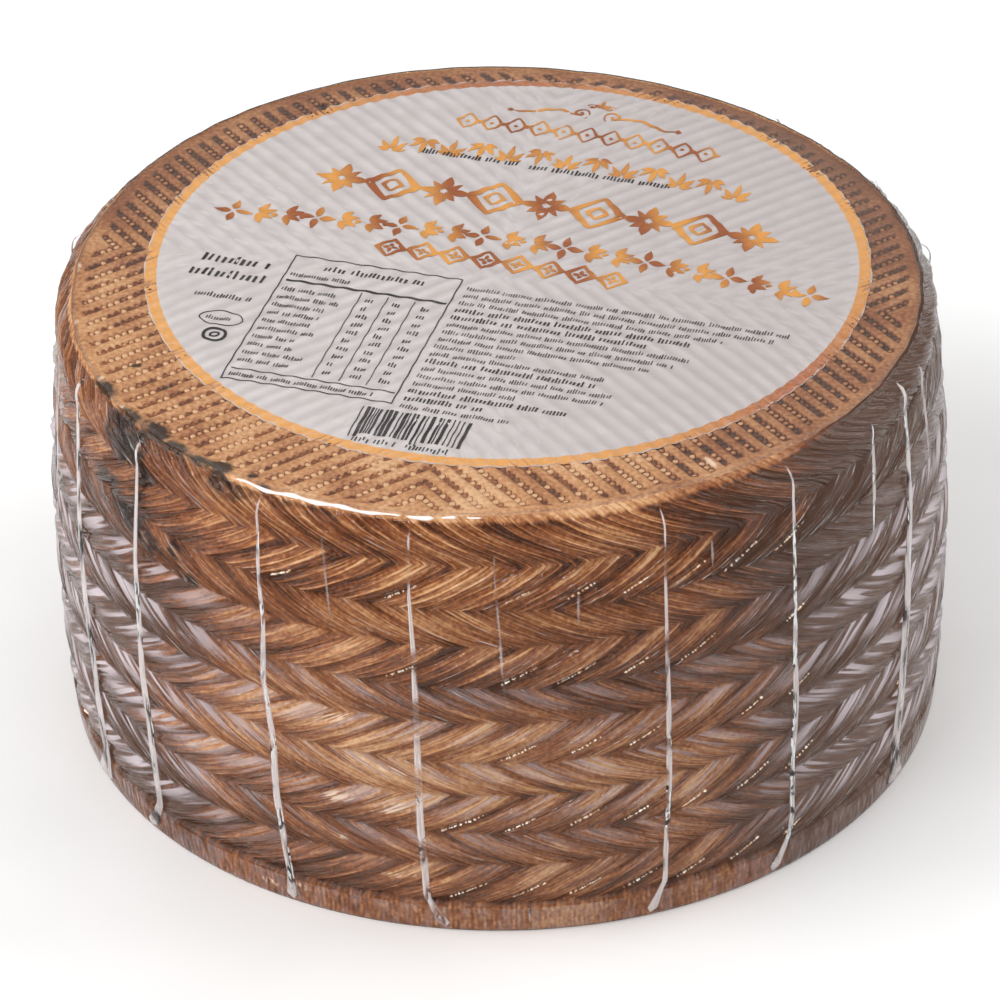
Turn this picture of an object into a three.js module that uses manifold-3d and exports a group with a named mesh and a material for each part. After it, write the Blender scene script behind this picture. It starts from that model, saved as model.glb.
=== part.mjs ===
// A pressed wheel of hard sheep's milk cheese in clear, skin-tight shrink film, with a round paper
// label on its top face. Millimetres, +Z up, origin under the wheel in the middle of its base.
//
// The side carries the imprint of a plaited grass band: ten rows of slanted leaf-shaped bundles,
// leaning right and left in turn. Both faces carry the ribs of the press board: four quarters of
// parallel ribs that meet in chevrons pointing to the middle.

import * as THREE from 'three';
import { mergeVertices } from 'three/addons/utils/BufferGeometryUtils.js';
import Module from 'manifold-3d';

const wasm = await Module();
wasm.setup();

// ---- Wheel ----
const WHEEL_HEIGHT = 106;
const BASE_RADIUS = 100.5;
const RIM_RADIUS = 99.2;
const BELLY = 2.6; // how far the side swells between base and rim
const RIM_ROUNDING = 6.8;
const BASE_EDGE = 1;
const TOP_EDGE = 94.8; // the flat top ends here, where the rim wasn't pressed in
const LEAN = new THREE.Vector2(-0.9, 0.6); // the top's shift from the base

// The stretches where the rim was pressed further in: middle, spread (both degrees) and depth.
const RIM_FLATS = [
  { at: -68, spread: 32, inset: 2.8 },
  { at: 55, spread: 40, inset: 1.9 },
  { at: 165, spread: 25, inset: 1.1 },
];

// ---- Plaited band on the side ----
const BAND_TOP = 7.8; // plain strip above the base
const BAND_INSET = 0.4;
const BAND_STEP = 1.2; // height of the step from the strip into the first row
const RISING_ROW = 10.3; // height of a row of bundles that lean right
const FALLING_ROW = 9.05; // height of a row of bundles that lean left
const ROW_PAIRS = 5;
const BUNDLES = 49;
const BUNDLE_PITCH = 360 / BUNDLES;
const BUNDLE_START = -84; // azimuth of a groove at the foot of a rising row
const BUNDLE_SLANT = 1.45; // how many pitches a bundle moves round the wheel on its way up a row
const BUNDLE_DEPTH = 1.8;
const JUNCTION_WAVE = 0.5; // how far the bundles' tips rise past the line between two rows
const COLUMNS_PER_BUNDLE = 2;
const STEPS_IN_ROW = [0.5, 1];
const TIP_HEIGHT = 0.5; // of a bundle's height, left at its tips

// ---- Pressed ribs on both faces ----
const RIB_PITCH = 3.97;
const GROOVE_WIDTH = 2.1;
const GROOVE_DEPTH = 1.1;
const GROOVE_CLEARANCE = 0.3;
const FIRST_CORNER = -11; // azimuth of the first line on which two quarters meet
const TOP_BORDER = 91.5; // the ribs of the top end at this radius
const BASE_BORDER = 94;

// ---- Label ----
const LABEL_RADIUS = 81.8;
const LABEL_CENTRE = new THREE.Vector2(2.9, 6.5);
const LABEL_THICKNESS = 0.6;
const LABEL_GAP = 0.3;
const LABEL_GROOVE = 0.3; // depth to which the ribs show through the paper
const LABEL_SIDES = 96;
const LABEL_COVER = 2; // the face under the label is plain, up to this far from the label's edge

// ---- Film pleats ----
const PLEAT_HEIGHT = 0.55;
const PLEAT_ROOT = 3; // how deep a pleat's root sits in the wheel
const PLEAT_LOW = 1.6;
const PLEAT_HIGH = 101;
const PLEAT_STEPS = 5;
const PLEAT_KICK_HEIGHT = 10; // below this a pleat turns aside
const PLEAT_END = 0.35; // of a pleat's greatest width, left at its ends
// Azimuth at the top, drift down to the foot, sideways turn of the foot (degrees), greatest width.
const PLEATS = [
  { at: -157.5, drift: 5, kick: -3, width: 3.4 },
  { at: -141.8, drift: 2, kick: -3, width: 2.2 },
  { at: -121.2, drift: 3.2, kick: -0.4, width: 1.6 },
  { at: -101.1, drift: 0.8, kick: 2.4, width: 1.6 },
  { at: -69.7, drift: -0.6, kick: -2.2, width: 1.4 },
  { at: -50.8, drift: -1.8, kick: -2.2, width: 1.5 },
  { at: -26.8, drift: -3.8, kick: 1, width: 3.8 },
  { at: 8, drift: 1.5, kick: 2, width: 2.4 },
  { at: 47, drift: -1.2, kick: -2, width: 1.6 },
  { at: 86, drift: 2.2, kick: 1.6, width: 1.5 },
  { at: 124, drift: -2.4, kick: -2.2, width: 2 },
  { at: 166, drift: -2, kick: 2, width: 2.8 },
];

const WHEEL_COLOUR = 0x9c7250;
const LABEL_COLOUR = 0xd9cdca;

const rad = THREE.MathUtils.degToRad;

/** A closed geometry with its vertices merged and its collapsed triangles dropped. */
function welded(geometry) {
  const bare = geometry.clone();
  bare.deleteAttribute('normal');
  bare.deleteAttribute('uv');
  const merged = mergeVertices(bare, 1e-4);
  const index = merged.index.array;
  const kept = [];
  for (let i = 0; i < index.length; i += 3) {
    const [a, b, c] = [index[i], index[i + 1], index[i + 2]];
    if (a !== b && b !== c && c !== a) kept.push(a, b, c);
  }
  merged.setIndex(kept);
  return merged;
}

/** The solid of a closed geometry. */
function toSolid(geometry) {
  const merged = welded(geometry);
  return new wasm.Manifold(new wasm.Mesh({
    numProp: 3,
    vertProperties: new Float32Array(merged.attributes.position.array),
    triVerts: new Uint32Array(merged.index.array),
  }));
}

/** The geometry of a solid. */
function toGeometry(solid) {
  const mesh = solid.getMesh();
  const geometry = new THREE.BufferGeometry();
  geometry.setAttribute('position', new THREE.BufferAttribute(mesh.vertProperties, 3));
  geometry.setIndex(new THREE.BufferAttribute(mesh.triVerts, 1));
  geometry.computeVertexNormals();
  return geometry;
}

/** How far the rim is pressed in at an azimuth. */
function rimInset(azimuth) {
  let inset = 0;
  for (const flat of RIM_FLATS) {
    const away = THREE.MathUtils.euclideanModulo(azimuth - flat.at + 180, 360) - 180;
    inset += flat.inset * Math.exp(-((away / flat.spread) ** 2));
  }
  return inset;
}

/** Radius of the wheel's smooth outline at a height. */
function outlineRadius(height, azimuth) {
  const shoulder = WHEEL_HEIGHT - RIM_ROUNDING;
  const t = THREE.MathUtils.clamp(height / shoulder, 0, 1);
  const wall = THREE.MathUtils.lerp(BASE_RADIUS, RIM_RADIUS, t) + BELLY * 4 * t * (1 - t);
  if (height <= shoulder) return wall;
  const up = Math.min((height - shoulder) / RIM_ROUNDING, 1);
  const rounded = RIM_RADIUS - RIM_ROUNDING * (1 - Math.sqrt(1 - up * up));
  return rounded - rimInset(azimuth) * up * up * (1 - 0.5 * up);
}

/** A point on the wheel, leaned with its height. */
function onWheel(radius, azimuth, height) {
  const a = rad(azimuth);
  const t = height / WHEEL_HEIGHT - 0.5;
  return new THREE.Vector3(
    radius * Math.cos(a) + LEAN.x * t,
    radius * Math.sin(a) + LEAN.y * t,
    height,
  );
}

/** The rings of the wheel from the middle of the base to the middle of the top. */
function wheelStations() {
  const stations = [
    { radius: () => 0, height: 0, turn: 0 },
    { radius: () => BASE_RADIUS - BASE_EDGE, height: 0, turn: 0 },
    { radius: () => BASE_RADIUS, height: BASE_EDGE, turn: 0 },
    { radius: () => outlineRadius(BAND_TOP, 0) - BAND_INSET, height: BAND_TOP - BAND_STEP, turn: 0 },
    { height: BAND_TOP, turn: 0, crown: 0, wave: JUNCTION_WAVE, relief: true },
  ];
  let foot = BAND_TOP;
  for (let row = 0; row < 2 * ROW_PAIRS; row += 1) {
    const rising = row % 2 === 0;
    const tall = rising ? RISING_ROW : FALLING_ROW;
    for (const v of STEPS_IN_ROW) {
      const last = row === 2 * ROW_PAIRS - 1 && v === 1;
      stations.push({
        height: foot + tall * v,
        turn: BUNDLE_SLANT * (rising ? v : 1 - v),
        crown: v === 1 ? TIP_HEIGHT : 1,
        wave: v === 1 && !last ? JUNCTION_WAVE : 0,
        relief: true,
        leansLeft: !rising,
      });
    }
    foot += tall;
  }
  const edge = (azimuth) => TOP_EDGE - rimInset(azimuth);
  stations.push({ radius: edge, height: WHEEL_HEIGHT, turn: 0 });
  stations.push({ radius: () => 0, height: WHEEL_HEIGHT, turn: 0 });
  return stations;
}

/** A vertex of the wheel: a station's ring, at one column. */
function wheelVertex(station, column) {
  const onCrest = column % COLUMNS_PER_BUNDLE !== 0;
  const along = column / COLUMNS_PER_BUNDLE + station.turn;
  const azimuth = BUNDLE_START + BUNDLE_PITCH * along;
  let height = station.height;
  if (station.wave) height += onCrest ? station.wave : -station.wave / 2;
  let radius = station.radius ? station.radius(azimuth) : outlineRadius(height, azimuth);
  if (station.relief) radius -= BUNDLE_DEPTH * (1 - (onCrest ? station.crown : 0));
  return onWheel(radius, azimuth, height);
}

/** Splits the quads of the rows that lean left the other way, so that no split crosses a bundle. */
function splitAlongBundles(index, stations) {
  const bands = stations.length - 1;
  for (let quad = 0; quad < index.count / 6; quad += 1) {
    if (stations[(quad % bands) + 1].leansLeft) {
      const at = 6 * quad;
      const [a, b, d, c] = [0, 1, 2, 3].map((k) => index.getX(at + k));
      [a, b, c, a, c, d].forEach((vertex, k) => index.setX(at + k, vertex));
    }
  }
}

/** The wheel with the bundles of the plaited band, before its faces are ribbed. */
function bandedWheel() {
  const stations = wheelStations();
  const columns = BUNDLES * COLUMNS_PER_BUNDLE;
  const profile = stations.map((station) => new THREE.Vector2(1, station.height));
  const geometry = new THREE.LatheGeometry(profile, columns);
  splitAlongBundles(geometry.index, stations);
  const position = geometry.attributes.position;
  for (let i = 0; i < position.count; i += 1) {
    const column = Math.floor(i / stations.length) % columns;
    const point = wheelVertex(stations[i % stations.length], column);
    position.setXYZ(i, point.x, point.y, point.z);
  }
  return toSolid(geometry);
}

/** A groove of triangular section, cut below z = 0, along a route that places each point across it. */
function grooveGeometry(offset, depth, route) {
  const half = (GROOVE_WIDTH / 2) * (1 + GROOVE_CLEARANCE / depth);
  const shape = new THREE.Shape();
  shape.moveTo(offset - half, GROOVE_CLEARANCE);
  shape.lineTo(offset, -depth);
  shape.lineTo(offset + half, GROOVE_CLEARANCE);
  const steps = route.length - 1;
  const geometry = new THREE.ExtrudeGeometry(shape, { depth: steps, steps, bevelEnabled: false });
  const position = geometry.attributes.position;
  for (let i = 0; i < position.count; i += 1) {
    const [u, v] = route[Math.round(position.getZ(i))](position.getX(i));
    position.setXYZ(i, u, -v, position.getY(i));
  }
  return geometry;
}

/** Where a line at an offset leaves a circle, both given in a corner's frame. */
function leaves(offset, along, across, radius) {
  return along + Math.sqrt(radius ** 2 - (offset - across) ** 2);
}

/** The grooves that meet on one corner line: chevrons, or two arms where a round patch stays plain. */
function cornerGrooves(corner, depth, border, plain) {
  const turn = rad(corner + 45);
  const middle = plain.centre.clone().rotateAround(new THREE.Vector2(), -turn);
  const [along, across] = [middle.x, -middle.y];
  const solids = [];
  for (let offset = RIB_PITCH / 2; offset < border * Math.SQRT1_2 - GROOVE_WIDTH; offset += RIB_PITCH) {
    const far = Math.sqrt(border ** 2 - offset ** 2);
    const routes = [];
    if (Math.hypot(offset - along, offset - across) < plain.radius) {
      const right = leaves(offset, along, across, plain.radius);
      const left = leaves(offset, across, along, plain.radius);
      routes.push([(x) => [far, x], (x) => [right, x]]);
      routes.push([(x) => [x, left], (x) => [x, far]]);
    } else {
      routes.push([(x) => [far, x], (x) => [x, x], (x) => [x, far]]);
    }
    for (const route of routes) {
      solids.push(toSolid(grooveGeometry(offset, depth, route).rotateZ(turn)));
    }
  }
  return solids;
}

/** All grooves of a ribbed face, which lies at z = 0, out to its border. */
function ribGrooves(depth, border, plain = { radius: 0, centre: new THREE.Vector2() }) {
  const solids = [];
  for (let quarter = 0; quarter < 4; quarter += 1) {
    solids.push(...cornerGrooves(FIRST_CORNER + 90 * quarter, depth, border, plain));
  }
  return wasm.Manifold.union(solids);
}

/** An upright round solid. */
function roundSolid(radius, low, high, sides) {
  const geometry = new THREE.CylinderGeometry(radius, radius, high - low, sides);
  geometry.rotateX(Math.PI / 2);
  geometry.translate(0, 0, (low + high) / 2);
  return toSolid(geometry);
}

/** Azimuth of a pleat at a height. */
function pleatAzimuth(pleat, height) {
  const down = 1 - height / PLEAT_HIGH;
  const foot = THREE.MathUtils.clamp(1 - height / PLEAT_KICK_HEIGHT, 0, 1);
  return pleat.at + pleat.drift * down + pleat.kick * foot;
}

/** A gathered fold of the film: a low ridge down the side. */
function pleatSolid(pleat) {
  const shape = new THREE.Shape();
  shape.moveTo(-1, -1);
  shape.lineTo(1, -1);
  shape.lineTo(0, 1);
  const options = { depth: 1, steps: PLEAT_STEPS, bevelEnabled: false };
  const geometry = new THREE.ExtrudeGeometry(shape, options);
  const position = geometry.attributes.position;
  for (let i = 0; i < position.count; i += 1) {
    const t = position.getZ(i);
    const height = THREE.MathUtils.lerp(PLEAT_LOW, PLEAT_HIGH, t * (0.4 + 0.6 * t));
    const fullness = THREE.MathUtils.lerp(PLEAT_END, 1, Math.sin(Math.PI * (1 - t) ** 0.8));
    const ridge = position.getY(i) > 0;
    const azimuth = pleatAzimuth(pleat, height);
    const wall = outlineRadius(height, azimuth);
    const radius = wall + (ridge ? PLEAT_HEIGHT : -PLEAT_ROOT);
    const aside = (position.getX(i) * pleat.width * fullness * 180) / (Math.PI * wall);
    const point = onWheel(radius, azimuth - aside, height);
    position.setXYZ(i, point.x, point.y, point.z);
  }
  return toSolid(geometry);
}

/** The wheel in its film: bundles on the side, ribs on both faces, pleats down the side. */
function wheelSolid() {
  const plain = { radius: LABEL_RADIUS - LABEL_COVER, centre: LABEL_CENTRE };
  const topGrooves = ribGrooves(GROOVE_DEPTH, TOP_BORDER, plain).translate([0, 0, WHEEL_HEIGHT]);
  const baseGrooves = ribGrooves(GROOVE_DEPTH, BASE_BORDER).rotate([180, 0, 0]);
  return bandedWheel()
    .add(wasm.Manifold.union(PLEATS.map(pleatSolid)))
    .subtract(topGrooves)
    .subtract(baseGrooves);
}

/** The paper label, lying on the top face with the ribs showing through. */
function labelSolid() {
  const low = WHEEL_HEIGHT + LABEL_GAP;
  const high = low + LABEL_THICKNESS;
  return roundSolid(LABEL_RADIUS, low, high, LABEL_SIDES)
    .translate([LABEL_CENTRE.x, LABEL_CENTRE.y, 0])
    .subtract(ribGrooves(LABEL_GROOVE, WHEEL_HEIGHT).translate([0, 0, high]));
}

/** A named mesh with its own finish. */
function part(name, solid, colour, roughness) {
  const material = new THREE.MeshStandardMaterial({ color: colour, roughness, metalness: 0 });
  const mesh = new THREE.Mesh(toGeometry(solid), material);
  mesh.name = name;
  return mesh;
}

const group = new THREE.Group();
const wheel = part('wheel', wheelSolid(), WHEEL_COLOUR, 0.4);
const label = part('label', labelSolid(), LABEL_COLOUR, 0.7);

// The origin is the middle of the bounding box, under the wheel.
wheel.geometry.computeBoundingBox();
const middle = wheel.geometry.boundingBox.getCenter(new THREE.Vector3());
for (const mesh of [wheel, label]) {
  mesh.position.set(-middle.x, -middle.y, 0);
  group.add(mesh);
}

export default group;
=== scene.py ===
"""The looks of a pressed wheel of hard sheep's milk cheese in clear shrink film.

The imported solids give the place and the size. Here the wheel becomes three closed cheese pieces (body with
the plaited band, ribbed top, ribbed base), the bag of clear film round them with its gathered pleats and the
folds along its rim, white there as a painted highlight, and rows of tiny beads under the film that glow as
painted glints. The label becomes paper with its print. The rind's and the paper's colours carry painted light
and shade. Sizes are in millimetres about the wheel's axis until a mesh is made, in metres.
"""

import enum
import logging
import math
from collections.abc import Iterable, Sequence
from dataclasses import dataclass, field

import bpy
import numpy as np
from mathutils import Matrix, Vector


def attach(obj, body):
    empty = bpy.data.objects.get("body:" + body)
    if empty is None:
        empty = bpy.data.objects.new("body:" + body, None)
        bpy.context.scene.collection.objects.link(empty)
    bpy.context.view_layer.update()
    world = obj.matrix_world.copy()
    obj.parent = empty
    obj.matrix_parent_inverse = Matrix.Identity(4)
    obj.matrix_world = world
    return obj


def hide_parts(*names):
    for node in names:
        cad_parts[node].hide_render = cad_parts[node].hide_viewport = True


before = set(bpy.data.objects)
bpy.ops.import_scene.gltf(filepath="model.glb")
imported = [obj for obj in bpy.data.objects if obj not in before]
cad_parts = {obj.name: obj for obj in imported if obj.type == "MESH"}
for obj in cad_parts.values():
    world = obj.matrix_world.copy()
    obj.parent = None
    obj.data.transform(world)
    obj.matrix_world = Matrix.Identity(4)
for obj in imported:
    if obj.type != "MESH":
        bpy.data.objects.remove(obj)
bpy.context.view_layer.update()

logging.basicConfig(level=logging.INFO, format="%(levelname)s %(message)s")
LOG = logging.getLogger("cheese_wheel")

MM = 0.001
Array = np.ndarray
Pair = tuple[float, float]
Triple = tuple[float, float, float]
Colour = tuple[float, float, float, float]

# The label's middle about the top's middle, and its radius.
LABEL_CENTRE: Pair = (2.9, 6.5)
LABEL_RADIUS = 81.8


# ---- Small tools ----


def smoothstep(low: float, high: float, value: Array) -> Array:
    """0 below low, 1 above high, smooth between."""
    t = np.clip((value - low) / (high - low), 0.0, 1.0)
    return t * t * (3 - 2 * t)


def wrapped(degrees: Array) -> Array:
    """An angle brought between -180 and 180 degrees."""
    return (np.asarray(degrees) + 180.0) % 360.0 - 180.0


def srgb(red: int, green: int, blue: int) -> Colour:
    """A colour given in eight-bit screen values, as linear light with full alpha."""
    linear = []
    for channel in (red, green, blue):
        c = channel / 255
        linear.append(c / 12.92 if c <= 0.04045 else ((c + 0.055) / 1.055) ** 2.4)
    return (linear[0], linear[1], linear[2], 1.0)


@dataclass(frozen=True)
class Ripple:
    """A smooth, seeded unevenness that closes on itself round the wheel."""

    seed: int
    waves: int = 12
    first: int = 2

    def at(self, degrees: Array) -> Array:
        """The unevenness at an azimuth, about -1 to 1."""
        rng = np.random.default_rng(self.seed)
        total = np.zeros_like(np.asarray(degrees, float))
        for k in range(self.first, self.first + self.waves):
            total = total + rng.normal() * np.cos(np.radians(k * degrees) + rng.uniform(0, 2 * math.pi))
        return total / math.sqrt(self.waves)


# ---- The wheel's form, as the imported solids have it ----


def foot_middle() -> Pair:
    """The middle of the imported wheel's base, in millimetres."""
    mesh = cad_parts["wheel"].data
    points = np.empty(len(mesh.vertices) * 3, np.float32)
    mesh.vertices.foreach_get("co", points)
    points = points.reshape(-1, 3) / MM
    foot = points[points[:, 2] < 0.05]
    middle = (foot.min(0) + foot.max(0)) / 2
    return float(middle[0]), float(middle[1])


@dataclass(frozen=True)
class WheelForm:
    """Outline of the wheel."""

    height: float = 106.0
    base_radius: float = 100.5
    rim_radius: float = 99.2
    belly: float = 2.6
    rim_rounding: float = 6.8
    base_edge: float = 1.0
    top_edge: float = 95.5
    top_ragged: float = 0.22
    lean: Pair = (-0.9, 0.6)
    rim_flats: tuple[Triple, ...] = ((-68, 32, 2.8), (55, 40, 1.9), (165, 25, 1.1))
    foot: Pair = field(default_factory=foot_middle)

    def rim_inset(self, azimuth: Array) -> Array:
        """How far the rim is pressed in at an azimuth."""
        inset = np.zeros_like(np.asarray(azimuth, float))
        for at, spread, depth in self.rim_flats:
            inset = inset + depth * np.exp(-((wrapped(azimuth - at) / spread) ** 2))
        return inset

    def outline(self, height: Array, azimuth: Array) -> Array:
        """Radius of the smooth outline at a height."""
        shoulder = self.height - self.rim_rounding
        t = np.clip(height / shoulder, 0.0, 1.0)
        wall = self.base_radius * (1 - t) + self.rim_radius * t + self.belly * 4 * t * (1 - t)
        up = np.clip((height - shoulder) / self.rim_rounding, 0.0, 1.0)
        rounding = self.rim_rounding * (1 - np.sqrt(1 - up * up))
        return wall - rounding - self.rim_inset(azimuth) * up * up * (1 - 0.5 * up)

    def crest(self, azimuth: Array) -> Array:
        """Radius at which the flat top begins, a little ragged."""
        return self.top_edge - self.rim_inset(azimuth) + self.top_ragged * Ripple(61, 60, 10).at(azimuth)

    def place(self, radius: Array, azimuth: Array, height: Array) -> Array:
        """Points on the leaned wheel, in metres.

        Args:
            radius: distance from the axis.
            azimuth: degrees, counter-clockwise from +X.
            height: height over the floor.

        Returns:
            An array with x, y and z last.
        """
        turn = np.radians(azimuth)
        radius, turn, height = np.broadcast_arrays(radius, turn, np.asarray(height, float))
        share = height / self.height
        x = self.foot[0] + radius * np.cos(turn) + self.lean[0] * share
        y = self.foot[1] + radius * np.sin(turn) + self.lean[1] * share
        return np.stack([x, y, height], -1) * MM

    def top_point(self, x: Array, y: Array, height: Array) -> Array:
        """Points over the top face, in metres, from places about the top's middle."""
        share = np.asarray(height, float) / self.height
        x = x + (self.foot[0] + self.lean[0] * share)
        y = y + (self.foot[1] + self.lean[1] * share)
        return np.stack(np.broadcast_arrays(x, y, height), -1) * MM


@dataclass
class BandPoints:
    """Points on the plaited band: one row of the arrays is one ring of the lattice."""

    row: Array
    up: Array
    lane: Array
    bundle: Array
    across: Array
    azimuth: Array
    height: Array


@dataclass(frozen=True)
class PlaitedBand:
    """The imprint of the plaited grass band: rows of slanted bundles of fibres."""

    form: WheelForm
    foot: float = 7.8
    rising_row: float = 10.3
    falling_row: float = 9.05
    row_pairs: int = 5
    bundles: int = 49
    start: float = -84.0
    slant: float = 1.45
    seam_bundles: int = 25
    fibres: int = 4
    depth: float = 2.0
    swell: Pair = (1.1, 0.75)
    row_swell: float = 0.75
    fibre_height: float = 0.55
    tip_wave: float = 1.15
    level_wander: float = 0.28
    wander_span: float = 97.0
    radius_wander: float = 0.12
    rim_turn: float = 1.2
    seed: int = 5

    @property
    def rows(self) -> int:
        """Number of rows."""
        return 2 * self.row_pairs

    @property
    def pitch(self) -> float:
        """Degrees from one bundle to the next."""
        return 360.0 / self.bundles

    def row_height(self, row: int) -> float:
        """Height of a row: bundles lean right in even rows and left in odd ones."""
        return self.rising_row if row % 2 == 0 else self.falling_row

    def lanes(self, per_bundle: int) -> Array:
        """The columns of a lattice, counted in bundles."""
        return np.arange(self.bundles * per_bundle) / per_bundle - self.seam_bundles

    def points(self, per_bundle: int, steps: Sequence[float]) -> BandPoints:
        """The lattice of the band.

        Args:
            per_bundle: columns in one bundle.
            steps: places of the rings in a row, above 0 and up to 1.

        Returns:
            The points, from the lowest ring to the highest.
        """
        lane = self.lanes(per_bundle)
        bundle = np.floor(lane + 1e-9).astype(int) % self.bundles
        across = lane - np.floor(lane + 1e-9)
        row, up, turn, height = [], [], [], []
        foot = self.foot
        for r in range(self.rows):
            tall = self.row_height(r)
            for v in steps:
                row.append(r)
                up.append(v)
                turn.append(self._turn(r, v))
                height.append(foot + tall * v)
            foot += tall
        row, up, turn, height = (np.array(a)[:, None] for a in (row, up, turn, height))
        azimuth = self.start + self.pitch * (lane[None, :] + turn)
        level = np.broadcast_to(height, azimuth.shape).copy()
        level += self._tip_rise(row, up, across)
        share = (level - self.foot) / self.wander_span
        level += self.level_wander * Ripple(self.seed + 3, 20, 3).at(azimuth) * np.sin(np.pi * share)
        return BandPoints(row, up, lane, bundle, across, azimuth, level)

    def _turn(self, row: int, up: float | Array) -> float | Array:
        """How far a row's bundles have moved round at a place up the row, in pitches."""
        if row % 2 == 0:
            return self.slant * up
        return self.slant * (1 - up ** (1.35 if row == self.rows - 1 else 1.0))

    @staticmethod
    def ring(p: BandPoints, index: int) -> BandPoints:
        """One ring of the band's points, as points of its own."""
        pick = slice(index, index + 1 if index != -1 else None)
        return BandPoints(p.row[pick], p.up[pick], p.lane, p.bundle, p.across, p.azimuth[pick], p.height[pick])

    def line(self, row: int, up: Array, lane: float) -> BandPoints:
        """Points along one line of a row: one column, one ring for each place up the row."""
        foot = self.foot + sum(self.row_height(r) for r in range(row))
        lanes = np.array([lane])
        bundle = np.floor(lanes).astype(int) % self.bundles
        across = lanes - np.floor(lanes)
        up = np.asarray(up)[:, None]
        rows = np.full(up.shape, row)
        azimuth = self.start + self.pitch * (lanes[None, :] + self._turn(row, up))
        level = foot + self.row_height(row) * up + self._tip_rise(rows, up, across)
        return BandPoints(rows, up, lanes, bundle, across, azimuth, level)

    def _tip_rise(self, row: Array, up: Array, across: Array) -> Array:
        """How far the bundles' ends rise past the line between two rows."""
        arch = np.sin(np.pi * across) ** 0.8 - 0.45
        top_of_rising = np.where(row % 2 == 0, 1.0, 0.35)
        foot_weight = np.where(row % 2 == 0, 0.35, 1.0)
        weight = top_of_rising * np.clip(2 * up - 1, 0, 1) ** 2 + foot_weight * np.clip(1 - 2 * up, 0, 1) ** 2
        weight = np.where((row == self.rows - 1) & (up > 0.5), 0.2 * weight, weight)
        return self.tip_wave * arch[None, :] * weight

    def body(self, p: BandPoints) -> tuple[Array, Array]:
        """The bundles without their fibres.

        Args:
            p: points of the band.

        Returns:
            The bundle's roundness across, and the row's swell, both 0 to 1.
        """
        rng = np.random.default_rng(self.seed)
        shift = rng.normal(0, 0.035, (self.rows, self.bundles))[p.row, p.bundle[None, :]]
        half = 0.5 * (0.78 + 0.26 * np.sin(np.pi * p.up))
        away = (p.across[None, :] - 0.5 + shift) / half
        lens = np.clip(1 - away**2, 0, 1) ** 0.55
        swell = np.sin(np.pi * (0.07 + 0.88 * p.up)) ** 0.8
        return lens, np.broadcast_to(swell, lens.shape)

    def fibre(self, p: BandPoints) -> tuple[Array, Array]:
        """The fibres in the bundles.

        Args:
            p: points of the band.

        Returns:
            The fibres' roundness, 0 in the furrows, and a seeded tone for each fibre, -1 to 1.
        """
        rng = np.random.default_rng(self.seed + 1)
        number = np.floor(p.across * self.fibres + 0.5 + 1e-6).astype(int) % self.fibres
        size = (self.rows, self.bundles, self.fibres)
        tone = np.clip(rng.normal(0, 0.45, size), -1, 1)[p.row, p.bundle[None, :], number[None, :]]
        ridge = (1 - np.abs(np.sin(np.pi * p.across * self.fibres))) ** 1.4
        return ridge[None, :] * (0.75 + 0.35 * tone), tone

    def fibre_turn(self, lane: Array) -> Array:
        """The place between two ridges as a direction, which closes on itself round the wheel."""
        turn = 2 * np.pi * lane * self.fibres
        return np.stack([np.cos(turn), np.sin(turn), np.zeros_like(turn)], -1)

    def relief(self, p: BandPoints) -> tuple[Array, Array, Array]:
        """The cheese's relief.

        Args:
            p: points of the band.

        Returns:
            The relief against the outline, the hollow from 0 to 1, and the fibres' tone.
        """
        lens, swell = self.body(p)
        ridge, tone = self.fibre(p)
        rng = np.random.default_rng(self.seed + 2)
        gain = 1 + rng.normal(0, 0.07, (self.rows, self.bundles))[p.row, p.bundle[None, :]]
        rise = self._bundle_swell(p) * lens * (0.45 + 0.55 * swell) * gain + self.row_swell * swell
        fine = smoothstep(8, 75, p.height) * 0.5 + 0.5
        rise = rise + self.fibre_height * (ridge - 0.5) * fine + 0.06 * tone
        wander = self.radius_wander * Ripple(self.seed + 7, 24, 5).at(p.azimuth + 3 * p.height)
        hollow = np.clip(1 - (0.3 + 0.7 * lens) * (0.3 + 0.7 * swell), 0, 1)
        return rise - self.depth + wander, hollow, tone

    def _bundle_swell(self, p: BandPoints) -> Array:
        """How far a bundle stands out: more in the rising rows than in the falling ones."""
        rising, falling = self.swell
        return np.where(p.row % 2 == 0, rising, falling)

    def bridged(self, p: BandPoints, slack: Array) -> Array:
        """The relief of a film that spans the furrows.

        Args:
            p: points of the band.
            slack: 0 where it is shrunk tight, 1 where it stands off.

        Returns:
            The relief against the outline.
        """
        lens, swell = self.body(p)
        soft = lens**1.5
        tight = self._bundle_swell(p) * soft * (0.45 + 0.55 * swell) + self.row_swell * swell - self.depth
        loose = 0.85 * (0.35 + 0.65 * soft) * swell + 0.2 * soft - 0.95
        return tight * (1 - slack) + loose * slack


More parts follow.
